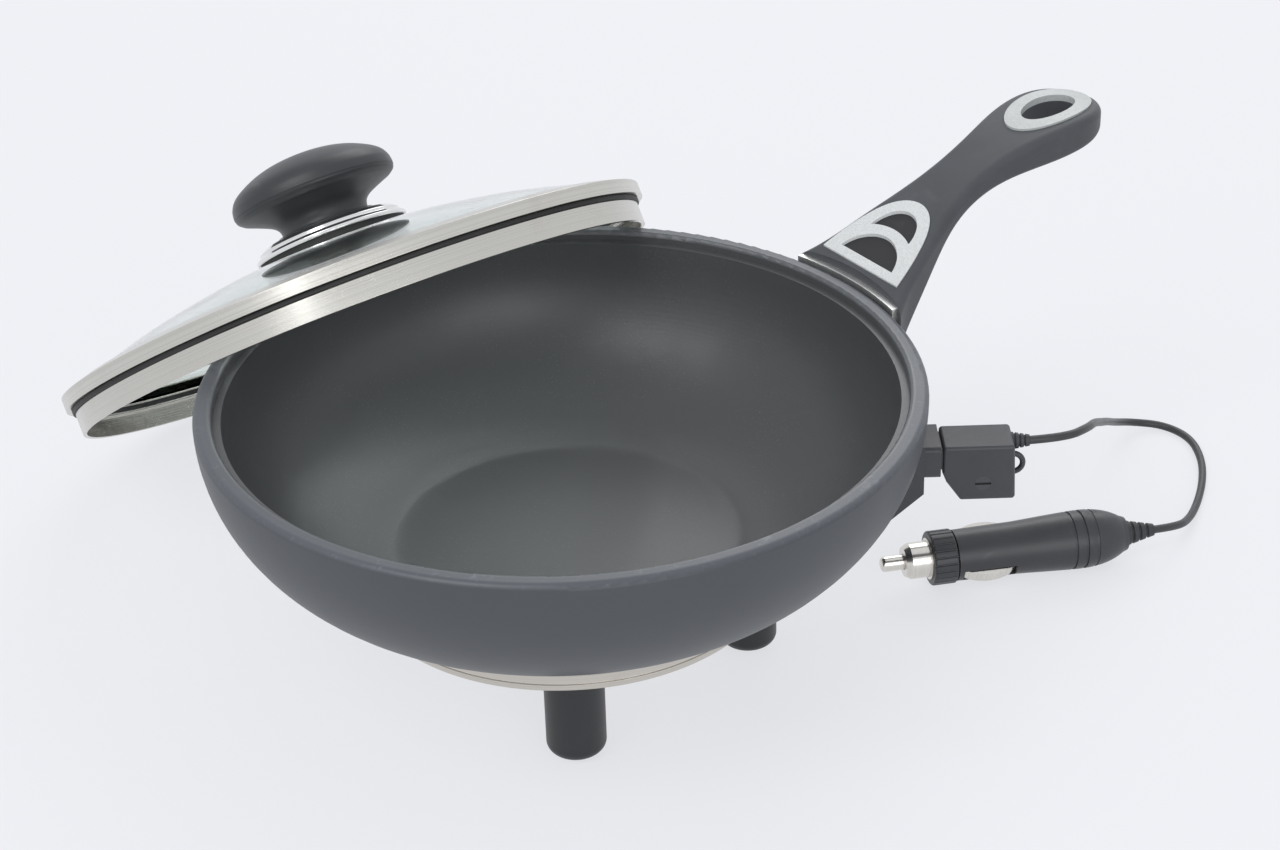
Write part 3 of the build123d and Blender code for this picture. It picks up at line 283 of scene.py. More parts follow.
class Shading:
    """The node tree of one material or world while it is being built."""

    def __init__(self, owner: bpy.types.Material | bpy.types.World, shader: str = "Principled BSDF") -> None:
        """Turns the owner's nodes on and keeps its first shader.

        Args:
            owner: a new material or world.
            shader: the name of the shader that it starts with.
        """
        owner.use_nodes = True
        self.owner = owner
        self.tree = owner.node_tree
        self.shader = self.tree.nodes[shader]

    def node(self, kind: str, settings: dict[str, Any] | None = None,
             inputs: dict[Any, Any] | None = None, output: Any = 0) -> Signal:
        """Adds a node, sets it up and fills its sockets.

        Args:
            kind: Blender's name for the node.
            settings: the node's own properties, set before its sockets; "stops" is a colour
                ramp's list of (position, colour).
            inputs: values or signals by socket name or number.
            output: the name or number of the socket that is returned.

        Returns:
            The chosen output.
        """
        made = self.tree.nodes.new(kind)
        for key, value in (settings or {}).items():
            if key == "stops":
                ramp = made.color_ramp
                while len(ramp.elements) < len(value):
                    ramp.elements.new(1.0)
                for element, (position, colour) in zip(ramp.elements, value):
                    element.position = position
                    element.color = (*colour, 1.0)
            else:
                setattr(made, key, value)
        for key, value in (inputs or {}).items():
            self.feed(made.inputs[key], value)
        return Signal(self, made.outputs[output])

    def feed(self, socket: bpy.types.NodeSocket, value: Any) -> None:
        """Links a signal to a socket, or sets a plain value on it."""
        if isinstance(value, Signal):
            self.tree.links.new(value.socket, socket)
        else:
            short = isinstance(value, tuple) and len(value) == 3
            if short and len(getattr(socket, "default_value", ())) == 4:
                value = (*value, 1.0)
            socket.default_value = value

    def set(self, **values: Any) -> None:
        """Fills the Principled shader's sockets; underscores stand for spaces."""
        for key, value in values.items():
            self.feed(self.shader.inputs[key.replace("_", " ")], value)

    def surface(self, seen: Signal) -> None:
        """Shows another shader to rays that look at the surface: from the camera, a gloss or through glass.

        Args:
            seen: the shader that these rays find; all other rays find the first one.
        """
        path = self.tree.nodes.new("ShaderNodeLightPath")
        kinds = ("Is Camera Ray", "Is Glossy Ray", "Is Transmission Ray")
        camera, glossy, through_glass = (Signal(self, path.outputs[kind]) for kind in kinds)
        first = Signal(self, self.shader.outputs[0])
        looks = camera + glossy + through_glass
        mixed = self.node("ShaderNodeMixShader", None, {0: looks, 1: first, 2: seen})
        output = next(node for node in self.tree.nodes if node.type.startswith("OUTPUT"))
        self.tree.links.new(mixed.socket, output.inputs["Surface"])

    def place(self, centre: Point = (0.0, 0.0, 0.0), turn: Point = (0.0, 0.0, 0.0)) -> Signal:
        """The object's own coordinates, measured from a centre along turned axes.

        Args:
            centre: the new origin, in metres.
            turn: the new axes' rotation, in radians.

        Returns:
            The coordinates as a vector signal.
        """
        plain = self.node("ShaderNodeTexCoord", output="Object")
        inputs = {"Vector": plain, "Location": centre, "Rotation": turn}
        return self.node("ShaderNodeMapping", {"vector_type": "TEXTURE"}, inputs)

    def parts(self, vector: Signal) -> tuple[Signal, Signal, Signal]:
        """The x, y and z of a vector signal."""
        split = self.tree.nodes.new("ShaderNodeSeparateXYZ")
        self.tree.links.new(vector.socket, split.inputs[0])
        return Signal(self, split.outputs[0]), Signal(self, split.outputs[1]), Signal(self, split.outputs[2])

    def across(self, vector: Signal) -> Signal:
        """Distance from the z axis: the root of x squared plus y squared."""
        x, y, _ = self.parts(vector)
        return (x * x + y * y) ** 0.5

    def grain(self, vector: Signal, scale: float, detail: float = 3.0, rough: float = 0.5,
              warp: float = 0.0) -> Signal:
        """Smooth noise from 0 to 1.

        Args:
            vector: where the noise is read.
            scale: features per metre.
            detail: how many finer layers are added.
            rough: how strong the finer layers are.
            warp: how far the noise bends itself.

        Returns:
            The noise.
        """
        inputs = {"Vector": vector, "Scale": scale, "Detail": detail, "Roughness": rough, "Distortion": warp}
        return self.node("ShaderNodeTexNoise", None, inputs)

    def stretched(self, vector: Signal, factors: Point) -> Signal:
        """A vector with each part multiplied by its own factor."""
        return self.node("ShaderNodeVectorMath", {"operation": "MULTIPLY"}, {0: vector, 1: factors})

    def specks(self, vector: Signal, scale: float, size: float) -> Signal:
        """Round flecks: 1 within a share of each random cell's centre and 0 outside.

        Args:
            vector: where the flecks are read.
            scale: cells per metre.
            size: the flecks' radius as a share of a cell.

        Returns:
            The mask.
        """
        distance = self.node("ShaderNodeTexVoronoi", None, {"Vector": vector, "Scale": scale}, "Distance")
        return distance.ramp(size, size * 0.6)

    def mix(self, factor: Any, first: Any, second: Any) -> Signal:
        """A colour between two, by a factor from 0 to 1."""
        inputs = {0: factor, 6: first, 7: second}
        return self.node("ShaderNodeMix", {"data_type": "RGBA"}, inputs, 2)

    def bump(self, height: Signal, depth: float, strength: float = 1.0, over: Signal | None = None) -> Signal:
        """A normal that a height signal tilts.

        Args:
            height: the relief, from 0 to 1.
            depth: how many metres the relief is high.
            strength: how much of the tilt is used.
            over: another bump that this one lies on.

        Returns:
            The normal.
        """
        inputs: dict[str, Any] = {"Height": height, "Distance": depth, "Strength": strength}
        if over is not None:
            inputs["Normal"] = over
        return self.node("ShaderNodeBump", None, inputs)


class Grade(Enum):
    """How coarse a moulded surface's grain is, in features per metre."""

    FINE = 5200.0
    MEDIUM = 2600.0
    COARSE = 1400.0


@dataclass(frozen=True)
class Finish:
    """What every finish has.

    Attributes:
        name: the material's name.
        colour: the main colour, linear.
        roughness: the mean roughness.
    """

    name: str
    colour: Colour
    roughness: float

    def material(self) -> bpy.types.Material:
        """Builds the material.

        Returns:
            The finished material.
        """
        shading = Shading(bpy.data.materials.new(self.name))
        self.paint(shading)
        return shading.owner

    def paint(self, s: Shading) -> None:
        """Fills the shader; each kind of finish has its own way.

        Args:
            s: the material's tree.
        """
        raise NotImplementedError

    def shade(self, factor: float) -> Colour:
        """The main colour made lighter or darker."""
        return tuple(min(1.0, part * factor) for part in self.colour)


@dataclass(frozen=True)
class Moulded(Finish):
    """Injection-moulded plastic or rubber: an even grain, faint flow clouds and rubbed patches."""

    grade: Grade = Grade.MEDIUM
    relief: float = 0.00003
    sheen: float = 0.0

    def paint(self, s: Shading) -> None:
        """Colour clouds, grain relief and uneven gloss.

        Args:
            s: the material's tree.
        """
        at = s.place()
        cloud = s.grain(at, 38.0, 4.0, 0.55, 0.4)
        grain = s.grain(at, self.grade.value, 2.0, 0.6)
        rub = s.grain(at, 110.0, 5.0, 0.62, 1.1).ramp(0.56, 0.74)
        colour = s.mix(cloud.ramp(0.3, 0.7), self.shade(0.86), self.shade(1.16))
        s.set(
            Base_Color=s.mix(rub * 0.35, colour, self.shade(1.5)),
            Roughness=self.roughness + (cloud - 0.5) * 0.12 - rub * 0.08,
            Normal=s.bump(grain, self.relief),
            Sheen_Weight=self.sheen,
        )


@dataclass(frozen=True)
class Coated(Finish):
    """The pan's sprayed coating, matt outside and smoother inside, with flecks and turning marks.

    Attributes:
        axis: the pan's axis in metres.
        rim: the rim's height in metres.
        inner: the inside's colour.
        floor: where the wall starts, midway between its two faces, in metres.
        depth: the height from there to the rim.
        narrow: the wall's radius there.
        widening: how much wider the wall is at the rim.
    """

    axis: Point = (0.0, 0.0, 0.0)
    rim: float = 0.086
    inner: Colour = (0.02, 0.02, 0.021)
    floor: float = 0.0355
    depth: float = 0.0505
    narrow: float = 0.0405
    widening: float = 0.0558

    def paint(self, s: Shading) -> None:
        """Inside and outside are told apart by the distance from the axis at each height.

        Args:
            s: the material's tree.
        """
        at = s.place(self.axis)
        _, _, height = s.parts(at)
        radius = s.across(at)
        rise = ((height - self.floor) / (self.rim - self.floor)).ramp(0.0, 1.0)
        climb = (height - self.floor) / self.depth
        wall = self.narrow + self.widening * (1 - (1 - climb) ** 2.0) ** 0.5
        inside = (radius - wall).ramp(0.0003, -0.0003)
        peel = s.grain(at, 900.0, 3.0, 0.5)
        grit = s.grain(at, 5200.0, 2.0, 0.6)
        cloud = s.grain(at, 22.0, 4.0, 0.5, 0.6)
        fleck = s.specks(at, 900.0, 0.22) * s.grain(at, 60.0, 2.0).ramp(0.4, 0.6)
        marks = (radius * 9000.0 + s.grain(at, 30.0, 2.0) * 2.0).sine() * 0.5 + 0.5
        lip = (height - (self.rim - 0.0016)).ramp(0.0, 0.0012)
        colour = s.mix(inside, s.mix(cloud, self.shade(0.88), self.shade(1.12)), self.inner)
        colour = s.mix(fleck * inside * 0.5, colour, self.shade(2.2))
        scuffed = s.grain(at, 260.0, 6.0, 0.7, 1.2).ramp(0.55, 0.72)
        colour = s.mix(lip * (0.25 + scuffed * 0.45), colour, self.shade(2.6))
        s.set(
            Base_Color=colour,
            Roughness=self.roughness - inside * 0.1 + (cloud - 0.5) * 0.1 - lip * 0.08 + rise * 0.02,
            Normal=s.bump(marks * inside, 0.000006, 0.8, s.bump(peel * 0.6 + grit * 0.4, 0.00006, 0.7)),
            Specular_IOR_Level=0.45,
        )


@dataclass(frozen=True)
class Metal(Finish):
    """Turned or drawn metal: fine lines round an axis, faint stains and small scratches.

    Attributes:
        axis: a point on the axis that the lines run round, in metres.
        turn: how that axis is turned, in radians.
        lines: lines per metre.
        relief: the lines' depth in metres.
        stain: how strong the stains are, from 0 to 1.
        tint: the stains' colour.
    """

    axis: Point = (0.0, 0.0, 0.0)
    turn: Point = (0.0, 0.0, 0.0)
    lines: float = 2600.0
    relief: float = 0.000008
    stain: float = 0.2
    tint: Colour = (0.42, 0.36, 0.28)

    def paint(self, s: Shading) -> None:
        """Lines are noise read on radius and height alone, so they run round the axis.

        Args:
            s: the material's tree.
        """
        at = s.place(self.axis, self.turn)
        _, _, height = s.parts(at)
        ring = s.node("ShaderNodeCombineXYZ", None, {0: s.across(at), 1: height, 2: 0.0})
        line = s.grain(ring, self.lines, 2.0, 0.7)
        cloud = s.grain(at, 34.0, 5.0, 0.6, 0.8)
        scratch = s.grain(s.stretched(at, (1.0, 9.0, 2.0)), 240.0, 4.0, 0.7, 0.5).ramp(0.62, 0.72)
        colour = s.mix(line.ramp(0.3, 0.7), self.shade(0.9), self.shade(1.08))
        s.set(
            Base_Color=s.mix(cloud.ramp(0.5, 0.8) * self.stain, colour, self.tint),
            Metallic=1.0,
            Roughness=self.roughness + (line - 0.5) * 0.16 + cloud.ramp(0.45, 0.8) * 0.1 + scratch * 0.12,
            Normal=s.bump(line - scratch * 0.4, self.relief),
        )


@dataclass(frozen=True)
class SilverPaint(Finish):
    """Metallic paint on plastic: fine flakes under a thin clear coat, worn a little at the grain's tops."""

    def paint(self, s: Shading) -> None:
        """Flakes are random cells that differ a little in brightness and gloss.

        Args:
            s: the material's tree.
        """
        at = s.place()
        flake = s.node("ShaderNodeTexVoronoi", None, {"Vector": at, "Scale": 5200.0}, "Color")
        bright, gloss, _ = s.parts(flake)
        cloud = s.grain(at, 70.0, 4.0, 0.5, 0.5)
        colour = s.mix(bright, self.shade(0.84), self.shade(1.12))
        s.set(
            Base_Color=s.mix(cloud.ramp(0.6, 0.8) * 0.25, colour, self.shade(0.6)),
            Metallic=bright * 0.15,
            Roughness=self.roughness + (gloss - 0.5) * 0.12 + (cloud - 0.5) * 0.1,
            Normal=s.bump(s.grain(at, 1600.0, 2.0), 0.00002),
            Coat_Weight=0.15,
            Coat_Roughness=0.2,
        )


@dataclass(frozen=True)
class Glass(Finish):
    """Clear glass with a faint tint, washing smears and a few dried drops."""

    def paint(self, s: Shading) -> None:
        """Only the gloss and a very slight waviness change over the surface.

        Args:
            s: the material's tree.
        """
        at = s.place()
        smear = s.grain(s.stretched(at, (1.0, 3.0, 1.0)), 45.0, 5.0, 0.65, 1.5).ramp(0.5, 0.85)
        drop = s.specks(at, 170.0, 0.12) * s.grain(at, 25.0, 2.0).ramp(0.5, 0.65)
        s.set(
            Base_Color=s.mix(smear * 0.25 + drop * 0.3, self.colour, self.shade(0.93)),
            Roughness=self.roughness + smear * 0.05 + drop * 0.18,
            Normal=s.bump(s.grain(at, 30.0, 1.0), 0.0001, 0.3),
            Transmission_Weight=1.0,
            IOR=1.5,
        )


@dataclass(frozen=True)
class Jacket(Finish):
    """A cord's soft jacket: faint lengthwise drawing marks, fine pits and dust."""

    def paint(self, s: Shading) -> None:
        """Marks are noise stretched along the floor's plane.

        Args:
            s: the material's tree.
        """
        at = s.place()
        pits = s.grain(at, 3600.0, 3.0, 0.6)
        drawn = s.grain(s.stretched(at, (0.25, 0.25, 1.0)), 2400.0, 2.0)
        dust = s.grain(at, 160.0, 5.0, 0.6, 1.0).ramp(0.52, 0.75)
        s.set(
            Base_Color=s.mix(dust * 0.5, self.colour, self.shade(2.4)),
            Roughness=self.roughness + dust * 0.15 + (drawn - 0.5) * 0.08,
            Normal=s.bump(pits * 0.5 + drawn * 0.5, 0.00002),
        )


@dataclass(frozen=True)
class Fibre(Finish):
    """Pressed insulating board: mica flakes in layers."""

    def paint(self, s: Shading) -> None:
        """Flakes are random cells flattened across the board.

        Args:
            s: the material's tree.
        """
        at = s.place()
        flat = s.stretched(at, (1.0, 1.0, 4.0))
        flake = s.node("ShaderNodeTexVoronoi", None, {"Vector": flat, "Scale": 420.0}, "Color")
        tone, gloss, _ = s.parts(flake)
        s.set(
            Base_Color=s.mix(tone, self.shade(0.75), self.shade(1.2)),
            Roughness=self.roughness - gloss * 0.2,
            Normal=s.bump(tone, 0.00008),
        )


# ---------------------------------------------------------------- putting pieces into the scene

def add(name: str, data: bpy.types.ID, finish: bpy.types.Material, body: str) -> bpy.types.Object:
    """Makes a new piece that sits at the origin and rides on a body.

    Args:
        name: the piece's name.
        data: its mesh or curve.
        finish: its material.
        body: the body that it moves with.

    Returns:
        The piece.
    """
    data.materials.append(finish)
    piece = bpy.data.objects.new(name, data)
    bpy.context.scene.collection.objects.link(piece)
    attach(piece, body)
    LOG.info("%s rides on %s", name, body)
    return piece


def dress(frame: dict[str, Any], names: Iterable[str], finish: bpy.types.Material) -> None:
    """Gives carried-over CAD nodes a finish.

    Args:
        names: the nodes.
        finish: their material.
    """
    for name in names:
        for slot in frame["nodes"][name].material_slots:
            slot.link = "OBJECT"
            slot.material = finish
        LOG.info("%s is finished as %s", name, finish.name)


def about(centre: Point, spin: Point = (0.0, 0.0, 0.0)) -> Matrix:
    """A place in millimetres on the pan's axes, turned by degrees about x, then y, then z."""
    x, y, z = (math.radians(angle) for angle in spin)
    turn = Matrix.Rotation(z, 4, "Z") @ Matrix.Rotation(y, 4, "Y") @ Matrix.Rotation(x, 4, "X")
    return Matrix.Translation(centre) @ turn


def metres(centre: Sequence[float]) -> Point:
    """A point of the pan's axes in millimetres, as a point of the scene in metres."""
    return tuple(float(v) for v in (np.array(centre, float) + SHIFT) * MM)


@dataclass
class Cord:
    """The lead between the connector's boot and the plug's boot.

    Attributes:
        route: the control points in metres.
        diameter: the jacket's diameter in metres.
        length: the real length in metres; not used.
    """

    route: tuple[Point, ...] = (
        (0.125541, -0.039383, 0.06280), (0.136141, -0.038383, 0.06280), (0.143741, -0.029183, 0.06040),
        (0.147341, -0.016783, 0.05440), (0.151141, -0.002183, 0.04620), (0.155541, 0.014217, 0.03660),
        (0.159941, 0.030617, 0.02720), (0.164341, 0.047017, 0.01760), (0.168941, 0.061617, 0.00880),
        (0.176341, 0.071417, 0.00300), (0.187141, 0.071617, 0.00135), (0.194141, 0.062817, 0.00135),
        (0.195141, 0.049217, 0.00135), (0.192741, 0.035617, 0.00135), (0.188541, 0.022817, 0.00135),
        (0.183741, 0.011217, 0.00320), (0.178041, 0.001217, 0.00710), (0.169541, -0.002983, 0.00890),
    )
    diameter: float = 0.0024
    length: float = 0.238

    def build(self, finish: bpy.types.Material) -> bpy.types.Object:
        """Makes the cord as one smooth line with a round section.

        Args:
            finish: the jacket's material.

        Returns:
            The cord.
        """
        curve = bpy.data.curves.new("lead_cord", "CURVE")
        curve.dimensions = "3D"
        spline = curve.splines.new("NURBS")
        spline.points.add(len(self.route) - 1)
        weights = np.ones((len(self.route), 1))
        spline.points.foreach_set("co", np.hstack([np.array(self.route), weights]).ravel())
        spline.order_u = 3
        spline.use_endpoint_u = True
        spline.resolution_u = 14
        curve.bevel_depth = self.diameter / 2
        curve.bevel_resolution = 6
        curve.use_fill_caps = True
        piece = add("lead_cord", curve, finish, "lead")
        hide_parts("cord")
        return piece


@dataclass
class Pan:
    """The bowl, its base and its feet, round the pan's axis.

    Attributes:
        rim: the rim's height.
        ring: the base ring's outer radius, wall, bottom and top.
        grooves: heights of the turned grooves on the ring's wall.
        groove_depth: how deep a groove is.
        groove_half: half of a groove's width.
    """

    rim: float = 86.0
    ring: tuple[float, float, float, float] = (58.9, 3.0, 25.5, 36.4)
    grooves: tuple[float, ...] = (27.6, 31.0, 32.0)
    groove_depth: float = 0.35
    groove_half: float = 0.28

    def base_ring(self) -> Surface:
        """The ring's closed profile: a wall with grooves like shallow cosine dips, and rounded lower edges.

        Returns:
            The turned ring.
        """
        radius, wall, low, high = self.ring
        height = np.linspace(low + 0.5, high, 160)
        dip = np.zeros_like(height)
        for groove in self.grooves:
            near = np.clip((height - groove) / self.groove_half, -1, 1)
            dip += self.groove_depth * (1 + np.cos(np.pi * near)) / 2
        outer = np.stack([radius - dip, height], 1)
        corners = [(radius - wall, high), (radius - wall, low), (radius, low), (radius, low + 0.5)]
        foot = smooth_corners(corners, [0, 0.5, 0.49, 0])
        return turned(np.vstack([foot[:-1], outer]), 192, True)

    def build(self, frame: dict[str, Any]) -> None:
        """Makes the ring and finishes the bowl, base and feet.
        """
        centre = metres((0, 0, 0))
        coating = Coated("charcoal_coating", (0.065, 0.071, 0.080), 0.45, centre, self.rim * MM,
                         (0.082, 0.086, 0.088))
        dress(frame, ["skillet_body"], coating.material())
        aluminium = Metal("turned_aluminium", (0.60, 0.57, 0.52), 0.36, centre, stain=0.35).material()
        ring = add("turned_base_ring", self.base_ring().mesh("turned_base_ring", about((0, 0, 0))), aluminium,
                   "base")
        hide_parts("base_ring")
        cover = Metal("pressed_cover", (0.50, 0.49, 0.47), 0.42, centre, lines=900.0, relief=0.00002)
        dress(frame, ["base_cover"], cover.material())
        black = Moulded("foot_plastic", (0.019, 0.020, 0.022), 0.42, Grade.FINE, 0.00002).material()
        feet = [n for n in frame["nodes"] if n.startswith("foot_")]
        dress(frame, [n for n in feet if "pad" not in n and "screws" not in n], black)
        rubber = Moulded("sole_rubber", (0.03, 0.029, 0.028), 0.75, Grade.COARSE, 0.00006).material()
        dress(frame, [n for n in feet if n.startswith("foot_pad")], rubber)
        steel = Metal("zinc_screws", (0.62, 0.62, 0.6), 0.34, centre, lines=3000.0, stain=0.25).material()
        dress(frame, ["foot_screws", "base_screws", "bracket_screws", "handle_screw", "knob_bolt",
                      "plug_screw"], steel)
        black_steel = Metal("black_screw", (0.10, 0.10, 0.105), 0.4, centre, lines=3000.0,
                            tint=(0.2, 0.17, 0.14))
        dress(frame, ["connector_screw"], black_steel.material())
        dress(frame, ["heating_element"], Metal("element_steel", (0.45, 0.42, 0.38), 0.45, centre, stain=0.7,
                                               tint=(0.16, 0.11, 0.2)).material())
        dress(frame, ["insulation_pad"], Fibre("mica_board", (0.52, 0.47, 0.36), 0.55).material())


class Handle:
    """The soft grip, its silver trim and the bracket that holds it."""

    def build(self, frame: dict[str, Any]) -> None:
        """Finishes the handle's pieces.
        """
        grip = Moulded("soft_touch_grip", (0.052, 0.056, 0.063), 0.6, Grade.FINE, 0.00003, 0.12).material()
        dress(frame, ["handle_grip"], grip)
        dress(frame, ["window_pad_lower", "window_pad_upper"],
              Moulded("window_rubber", (0.02, 0.02, 0.022), 0.7, Grade.MEDIUM, 0.00004).material())
        dress(frame, ["handle_inlay"], SilverPaint("silver_inlay", (0.72, 0.74, 0.73), 0.5).material())
        dress(frame, ["hang_ring"], SilverPaint("silver_ring", (0.50, 0.52, 0.51), 0.5).material())
        dress(frame, ["handle_bracket"],
              Metal("bracket_steel", (0.74, 0.74, 0.72), 0.42, metres((0, 0, 0)), lines=1600.0).material())


@dataclass
class Lid:
    """The glass lid that leans on the rim, in its own axes with z through the knob.

    Attributes:
        centre: where the axes start, on the pan's axes.
        tilt: how far the lid leans, in degrees.
        azimuth: which way it leans, in degrees.
        band: the steel channel's closed profile corners.
        lip: the closed profile corners of the ring under the glass.
        seal: the seal's closed profile corners.
        washer: the washer's closed profile corners.
        stem: points on the knob's waisted stem, from the washer up.
        cap: points on the knob's dome, from its edge to the middle.
    """

    centre: Point = (-64.4, 97.7, 61.15)
    tilt: float = 36.26
    azimuth: float = 124.18
    band: tuple[tuple[float, float], ...] = (
        (88.5, 0.3), (88.5, 0.0), (93.9, 0.0), (93.9, 4.2), (88.5, 5.9), (88.5, 5.3), (93.1, 3.6),
        (93.1, 0.6), (88.5, 0.6), (88.5, 0.3))
    lip: tuple[tuple[float, float], ...] = (
        (88.6, -1.9), (88.6, -1.5), (91.6, -1.5), (91.6, -8.2), (90.4, -8.2), (90.4, -2.3),
        (88.6, -2.3), (88.6, -1.9))
    seal: tuple[tuple[float, float], ...] = (
        (88.6, -0.7), (88.6, 0.0), (92.3, 0.0), (92.3, -1.5), (88.6, -1.5), (88.6, -0.7))
    washer: tuple[tuple[float, float], ...] = (
        (2.8, 21.5), (24.4, 21.5), (24.4, 22.7), (23.5, 23.4), (23.0, 23.5), (22.7, 24.6),
        (20.6, 25.8), (16.8, 26.7), (16.3, 27.1), (2.8, 27.1))
    stem: tuple[tuple[float, float], ...] = (
        (14.0, 27.1), (13.9, 28.5), (14.5, 30.3), (16.4, 32.0), (20.2, 33.8), (24.1, 35.4))
    cap: tuple[tuple[float, float], ...] = (
        (26.0, 38.7), (25.6, 40.7), (24.2, 43.0), (21.5, 45.0), (17.0, 47.2), (12.0, 48.75),
        (6.0, 49.7), (0.0, 50.0))

    def place(self) -> Matrix:
        """The lid's axes on the pan's axes, in millimetres."""
        lean, way = math.radians(self.tilt), math.radians(self.azimuth)
        up = Vector((math.sin(lean) * math.cos(way), math.sin(lean) * math.sin(way), math.cos(lean)))
        side = Vector((-math.sin(way), math.cos(way), 0.0))
        turn = Matrix((side, up.cross(side), up)).transposed().to_4x4()
        return Matrix.Translation(self.centre) @ turn

    def knob(self) -> Surface:
        """The knob's profile: a waisted stem, a rolled edge with a parting groove, and a domed cap.

        Returns:
            The turned knob.
        """
        stem = through(self.stem, 40)
        edge = smooth_corners([self.stem[-1], (26.0, 36.8), (25.85, 37.5), (26.0, 37.75), self.cap[0]],
                              [0, 1.6, 0.12, 0.12, 0], 8)
        cap = through(self.cap, 56)
        return turned(np.vstack([[(0.0, 27.1)], stem, edge[1:-1], cap]), 128)

    def build(self, frame: dict[str, Any]) -> None:
        """Makes the lid's metal, seal and knob, and finishes the glass.
        """
        place = self.place()
        turn = tuple(place.to_euler())
        centre = metres(self.centre)
        steel = Metal("polished_band", (0.58, 0.57, 0.53), 0.22, centre, turn, 3200.0, 0.000005, 0.15).material()
        chrome = Metal("chrome", (0.8, 0.8, 0.79), 0.12, centre, turn, 2400.0, 0.000003, 0.05)
        rubber = Moulded("seal_rubber", (0.02, 0.02, 0.02), 0.6, Grade.MEDIUM, 0.00004).material()
        satin = Moulded("knob_plastic", (0.033, 0.035, 0.038), 0.42, Grade.FINE, 0.000015).material()
        rings = (
            ("lid_edge_band", self.band, 0.18, steel, "lid_steel", "lid_band"),
            ("lid_inner_lip", self.lip, 0.18, steel, "lid_steel", "lid_lip"),
            ("lid_edge_seal", self.seal, 0.3, rubber, "black_rubber", "lid_seal"),
        )
        for name, profile, radius, finish, slot, node in rings:
            outline = smooth_corners(profile, [radius] * len(profile), 4)[:-1]
            piece = add(name, turned(outline, 256, True).mesh(name, place), finish, "lid")
            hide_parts(node)
        outline = smooth_corners(self.washer, [0, 0.5, 0.3, 0.2, 0.2, 0.5, 1.2, 0.4, 0.3, 0], 5)
        washer = add("knob_chrome_washer", turned(outline, 160, True).mesh("knob_chrome_washer", place),
                     chrome.material(), "lid")
        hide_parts("knob_washer")
        knob = add("knob_cap", self.knob().mesh("knob_cap", place), satin, "lid")
        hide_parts("knob")
        dress(frame, ["knob_gasket"], rubber)
        dress(frame, ["knob_inner_washer"], steel)
        dress(frame, ["lid_glass"], Glass("lid_glass_clear", (0.90, 0.96, 0.925), 0.02).material())


@dataclass
class Lead:
    """The connector, the plug and what is inside them, on the cord's two ends.

    Attributes:
        exit: the connector boot's axis start and end.
        plug_tip: the plug's tip on the pan's axes.
        plug_angle: the plug's direction in degrees.
        plug_end: how far behind the tip the plug's boot starts.
        exit_radii: the connector boot's radius at the housing and at the cord.
        plug_boot: the plug boot's length and its radius at the shell and at the cord.
        relief: ridges on each boot.
    """

    exit: tuple[Point, Point] = ((123.4, 1.4, 62.8), (129.0, 1.4, 62.8))
    plug_tip: Point = (90.6, 23.3, 8.9)
    plug_angle: float = 10.0
    plug_end: float = 74.6
    exit_radii: tuple[float, float] = (2.6, 1.6)
    plug_boot: tuple[float, float, float] = (9.4, 4.0, 1.8)
    relief: int = 4

    def boot(self, reach: float, start: float, end: float) -> Surface:
        """A tapered sleeve whose radius falls evenly, less a rounded groove between ridges.

        Args:
            reach: the sleeve's length.
            start: its radius at the housing.
            end: its radius at the cord.

        Returns:
            The sleeve, along z from 0.
        """
        along = np.linspace(0.0, 1.0, 97)
        cut = np.clip(np.sin(np.pi * (along * self.relief + 0.5)) ** 2 * 3 - 2, 0, 1)
        middle = ((along > 0.12) & (along < 0.94)).astype(float)
        radius = start + (end - start) * along - 0.16 * start * cut * middle
        wall = np.stack([radius, along * reach], 1)
        return turned(np.vstack([[(0.0, 0.0)], wall, [(0.0, reach)]]), 48)

    def build(self, frame: dict[str, Any]) -> list[bpy.types.Object | str]:
        """Makes the two boots and finishes the rest.


        Returns:
            The pieces that go with the cord.
        """
        black = Moulded("lead_plastic", (0.045, 0.046, 0.051), 0.38, Grade.MEDIUM, 0.00003).material()
        rubber = Moulded("boot_rubber", (0.034, 0.035, 0.038), 0.52, Grade.MEDIUM, 0.00004).material()
        along_plug = (0.0, math.pi / 2, math.radians(self.plug_angle))
        nickel = Metal("nickel", (0.72, 0.70, 0.65), 0.2, metres(self.plug_tip), along_plug, stain=0.2)
        brass = Metal("brass", (0.66, 0.5, 0.25), 0.3, metres((100, 0, 61)), stain=0.3).material()
        dress(frame, ["connector_shell_left", "connector_shell_right", "connector_loop", "plug_shell_upper",
                      "plug_shell_lower", "plug_collar", "inlet_housing"], black)
        dress(frame, ["plug_tip", "plug_nose", "plug_contact_left", "plug_contact_right",
                      "plug_tip_spring"], nickel.material())
        dress(frame, ["inlet_pins", "connector_sockets", "thermal_fuse"], brass)
        sleeve = Jacket("silicone_sleeve", (0.45, 0.42, 0.38), 0.5)
        dress(frame, ["lead_live", "lead_return"], sleeve.material())
        fuse = Metal("fuse_cap", (0.7, 0.68, 0.62), 0.25, metres(self.plug_tip))
        dress(frame, ["plug_fuse"], fuse.material())
        start, end = (np.array(p) for p in self.exit)
        plug = about(self.plug_tip, (0.0, 90.0, self.plug_angle))
        first = add("connector_strain_relief", self.boot(float(end[0] - start[0]), *self.exit_radii).mesh(
            "connector_strain_relief", about(tuple(start), (0.0, 90.0, 0.0))), rubber, "lead")
        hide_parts("connector_boot")
        behind = plug @ Matrix.Translation((0, 0, self.plug_end))
        second = add("plug_strain_relief", self.boot(*self.plug_boot).mesh("plug_strain_relief", behind), rubber,
                     "lead")
        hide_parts("plug_boot")
        return [first, second, *(n for n in frame["nodes"] if n.startswith("plug_") and n != "plug_boot")]


